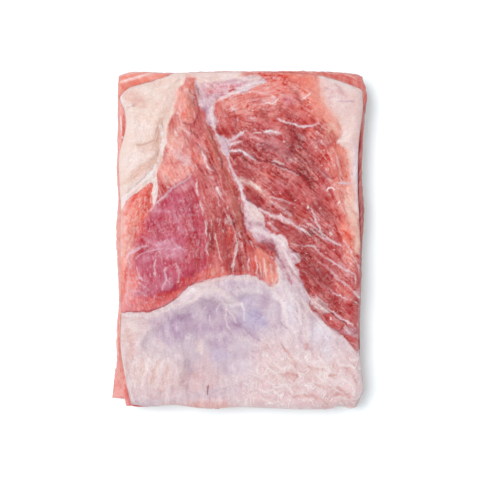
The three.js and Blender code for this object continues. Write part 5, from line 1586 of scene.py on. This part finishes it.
# Raw meat has a fine grain, which lightens and darkens it, and a broad one, which makes it
# rougher and smoother. Both are bumps of this width in millimetres, and a wet place is smoother.
FINE_GRAIN = 0.77
BROAD_GRAIN = 2.38
GRAIN_DETAIL = 3
GRAIN_SHADE = {"From Min": 0.3, "From Max": 0.7, "To Min": 0.89, "To Max": 1.11}
GRAIN_ROUGHNESS = {"From Min": 0.35, "From Max": 0.65, "To Min": 0.5, "To Max": 0.75}
WET_SMOOTHING = 0.15
GRAIN_DEPTH = 0.3
GRAIN_STRENGTH = 0.8
# Flesh is mostly water and fat. Red light sinks into it most deeply, and its coat is the thin
# film of juice.
LIGHT_DEPTH = 2.2
MEAT = {
    "Metallic": 0, "IOR": 1.4, "Specular IOR Level": 0.35,
    "Subsurface Weight": 0.12, "Subsurface Radius": (1.0, 0.35, 0.25),
    "Subsurface Scale": LIGHT_DEPTH * MM,
    "Coat Weight": 0.12, "Coat Roughness": 0.1, "Coat IOR": 1.34,
}


def add_node(tree, kind, sockets=None, **settings):
    """Adds a shader node with its settings. Each of its sockets is given a value or a link."""
    node = tree.nodes.new(kind)
    for name, value in settings.items():
        setattr(node, name, value)
    for name, source in (sockets or {}).items():
        if isinstance(source, bpy.types.NodeSocket):
            tree.links.new(source, node.inputs[name])
        else:
            node.inputs[name].default_value = source
    return node


def meat_material(name):
    """Raw meat and fat, cut with a knife and wet from its own juice: light sinks in a little, and
    the film on top shines in broken glints."""
    material = bpy.data.materials.new(name)
    material.use_nodes = True
    tree = material.node_tree
    tree.nodes.clear()
    place = add_node(tree, "ShaderNodeTexCoord").outputs["Object"]
    flesh = add_node(tree, "ShaderNodeAttribute", attribute_name="flesh").outputs["Color"]
    wet = add_node(tree, "ShaderNodeAttribute", attribute_name="wet").outputs["Fac"]
    fine, broad = (
        add_node(tree, "ShaderNodeTexNoise", {
            "Vector": place, "Scale": 1 / (size * MM), "Detail": GRAIN_DETAIL,
        }).outputs["Fac"]
        for size in (FINE_GRAIN, BROAD_GRAIN)
    )
    shade = add_node(tree, "ShaderNodeMapRange", {"Value": fine, **GRAIN_SHADE})
    toned = add_node(tree, "ShaderNodeVectorMath", {
        0: flesh, "Scale": shade.outputs["Result"],
    }, operation="SCALE")
    rough = add_node(tree, "ShaderNodeMapRange", {"Value": broad, **GRAIN_ROUGHNESS})
    smoother = add_node(tree, "ShaderNodeMath", {
        0: wet, 1: -WET_SMOOTHING, 2: rough.outputs["Result"],
    }, operation="MULTIPLY_ADD")
    relief = add_node(tree, "ShaderNodeMath", {0: fine, 1: broad}, operation="ADD")
    bump = add_node(tree, "ShaderNodeBump", {
        "Height": relief.outputs[0], "Strength": GRAIN_STRENGTH, "Distance": GRAIN_DEPTH * MM,
    })
    surface = add_node(tree, "ShaderNodeBsdfPrincipled", {
        "Base Color": toned.outputs[0], "Roughness": smoother.outputs[0],
        "Normal": bump.outputs[0], **MEAT,
    })
    add_node(tree, "ShaderNodeOutputMaterial", {"Surface": surface.outputs[0]})
    return material


def board_material(name, code, roughness):
    """A matt painted board, which only takes the slab's soft shadow."""
    material = bpy.data.materials.new(name)
    material.use_nodes = True
    surface = material.node_tree.nodes["Principled BSDF"]
    surface.inputs["Base Color"].default_value = (*linear(code), 1)
    surface.inputs["Roughness"].default_value = roughness
    return material


# Camera, in metres: straight above, so far away that the sides hardly show, with this width in
# view at this level. Its sensor is in millimetres.
CAMERA_HEIGHT = 1.6
FRAME_WIDTH = 0.3626
FRAME_MIDDLE = (0.0037, -0.0033)
FRAME_LEVEL = 0.03
SENSOR = 36

# Studio: a pale floor that reaches this many metres each way, white light all round, and a soft
# key light of this width and lean in degrees
FLOOR_REACH = 3
FLOOR_COLOUR = "#EDF5F9"
FLOOR_ROUGHNESS = 0.9
SKY_STRENGTH = 0.75
KEY_STRENGTH = 2.0
KEY_WIDTH = 22
KEY_LEAN = (-6, -16, 0)


def add_camera():
    """The camera that sees what the photograph shows."""
    camera = bpy.data.cameras.new("camera")
    camera.sensor_width = SENSOR
    camera.lens = SENSOR * (CAMERA_HEIGHT - FRAME_LEVEL) / FRAME_WIDTH
    holder = bpy.data.objects.new("camera", camera)
    holder.location = (*FRAME_MIDDLE, CAMERA_HEIGHT)
    bpy.context.scene.collection.objects.link(holder)
    bpy.context.scene.camera = holder


def add_stage():
    """A pale floor under soft light from high on the left."""
    plate = bmesh.new()
    bmesh.ops.create_grid(plate, x_segments=1, y_segments=1, size=FLOOR_REACH)
    floor = add_piece("floor", plate)
    floor.data.materials.append(board_material("matt_white_board", FLOOR_COLOUR, FLOOR_ROUGHNESS))
    world = bpy.data.worlds.new("studio")
    world.use_nodes = True
    sky = world.node_tree.nodes["Background"]
    sky.inputs["Color"].default_value = (1, 1, 1, 1)
    sky.inputs["Strength"].default_value = SKY_STRENGTH
    bpy.context.scene.world = world
    key = bpy.data.lights.new("key", "SUN")
    key.energy = KEY_STRENGTH
    key.angle = math.radians(KEY_WIDTH)
    holder = bpy.data.objects.new("key", key)
    holder.rotation_euler = [math.radians(lean) for lean in KEY_LEAN]
    bpy.context.scene.collection.objects.link(holder)


add_camera()
bpy.context.scene.view_settings.view_transform = "Standard"
pieces = [*build_face(), build_sides()]
for piece in pieces:
    piece.data.materials.append(meat_material("moist_raw_pork_" + piece.name))
    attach(piece, "root")
    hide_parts("pork_slab")
add_stage()
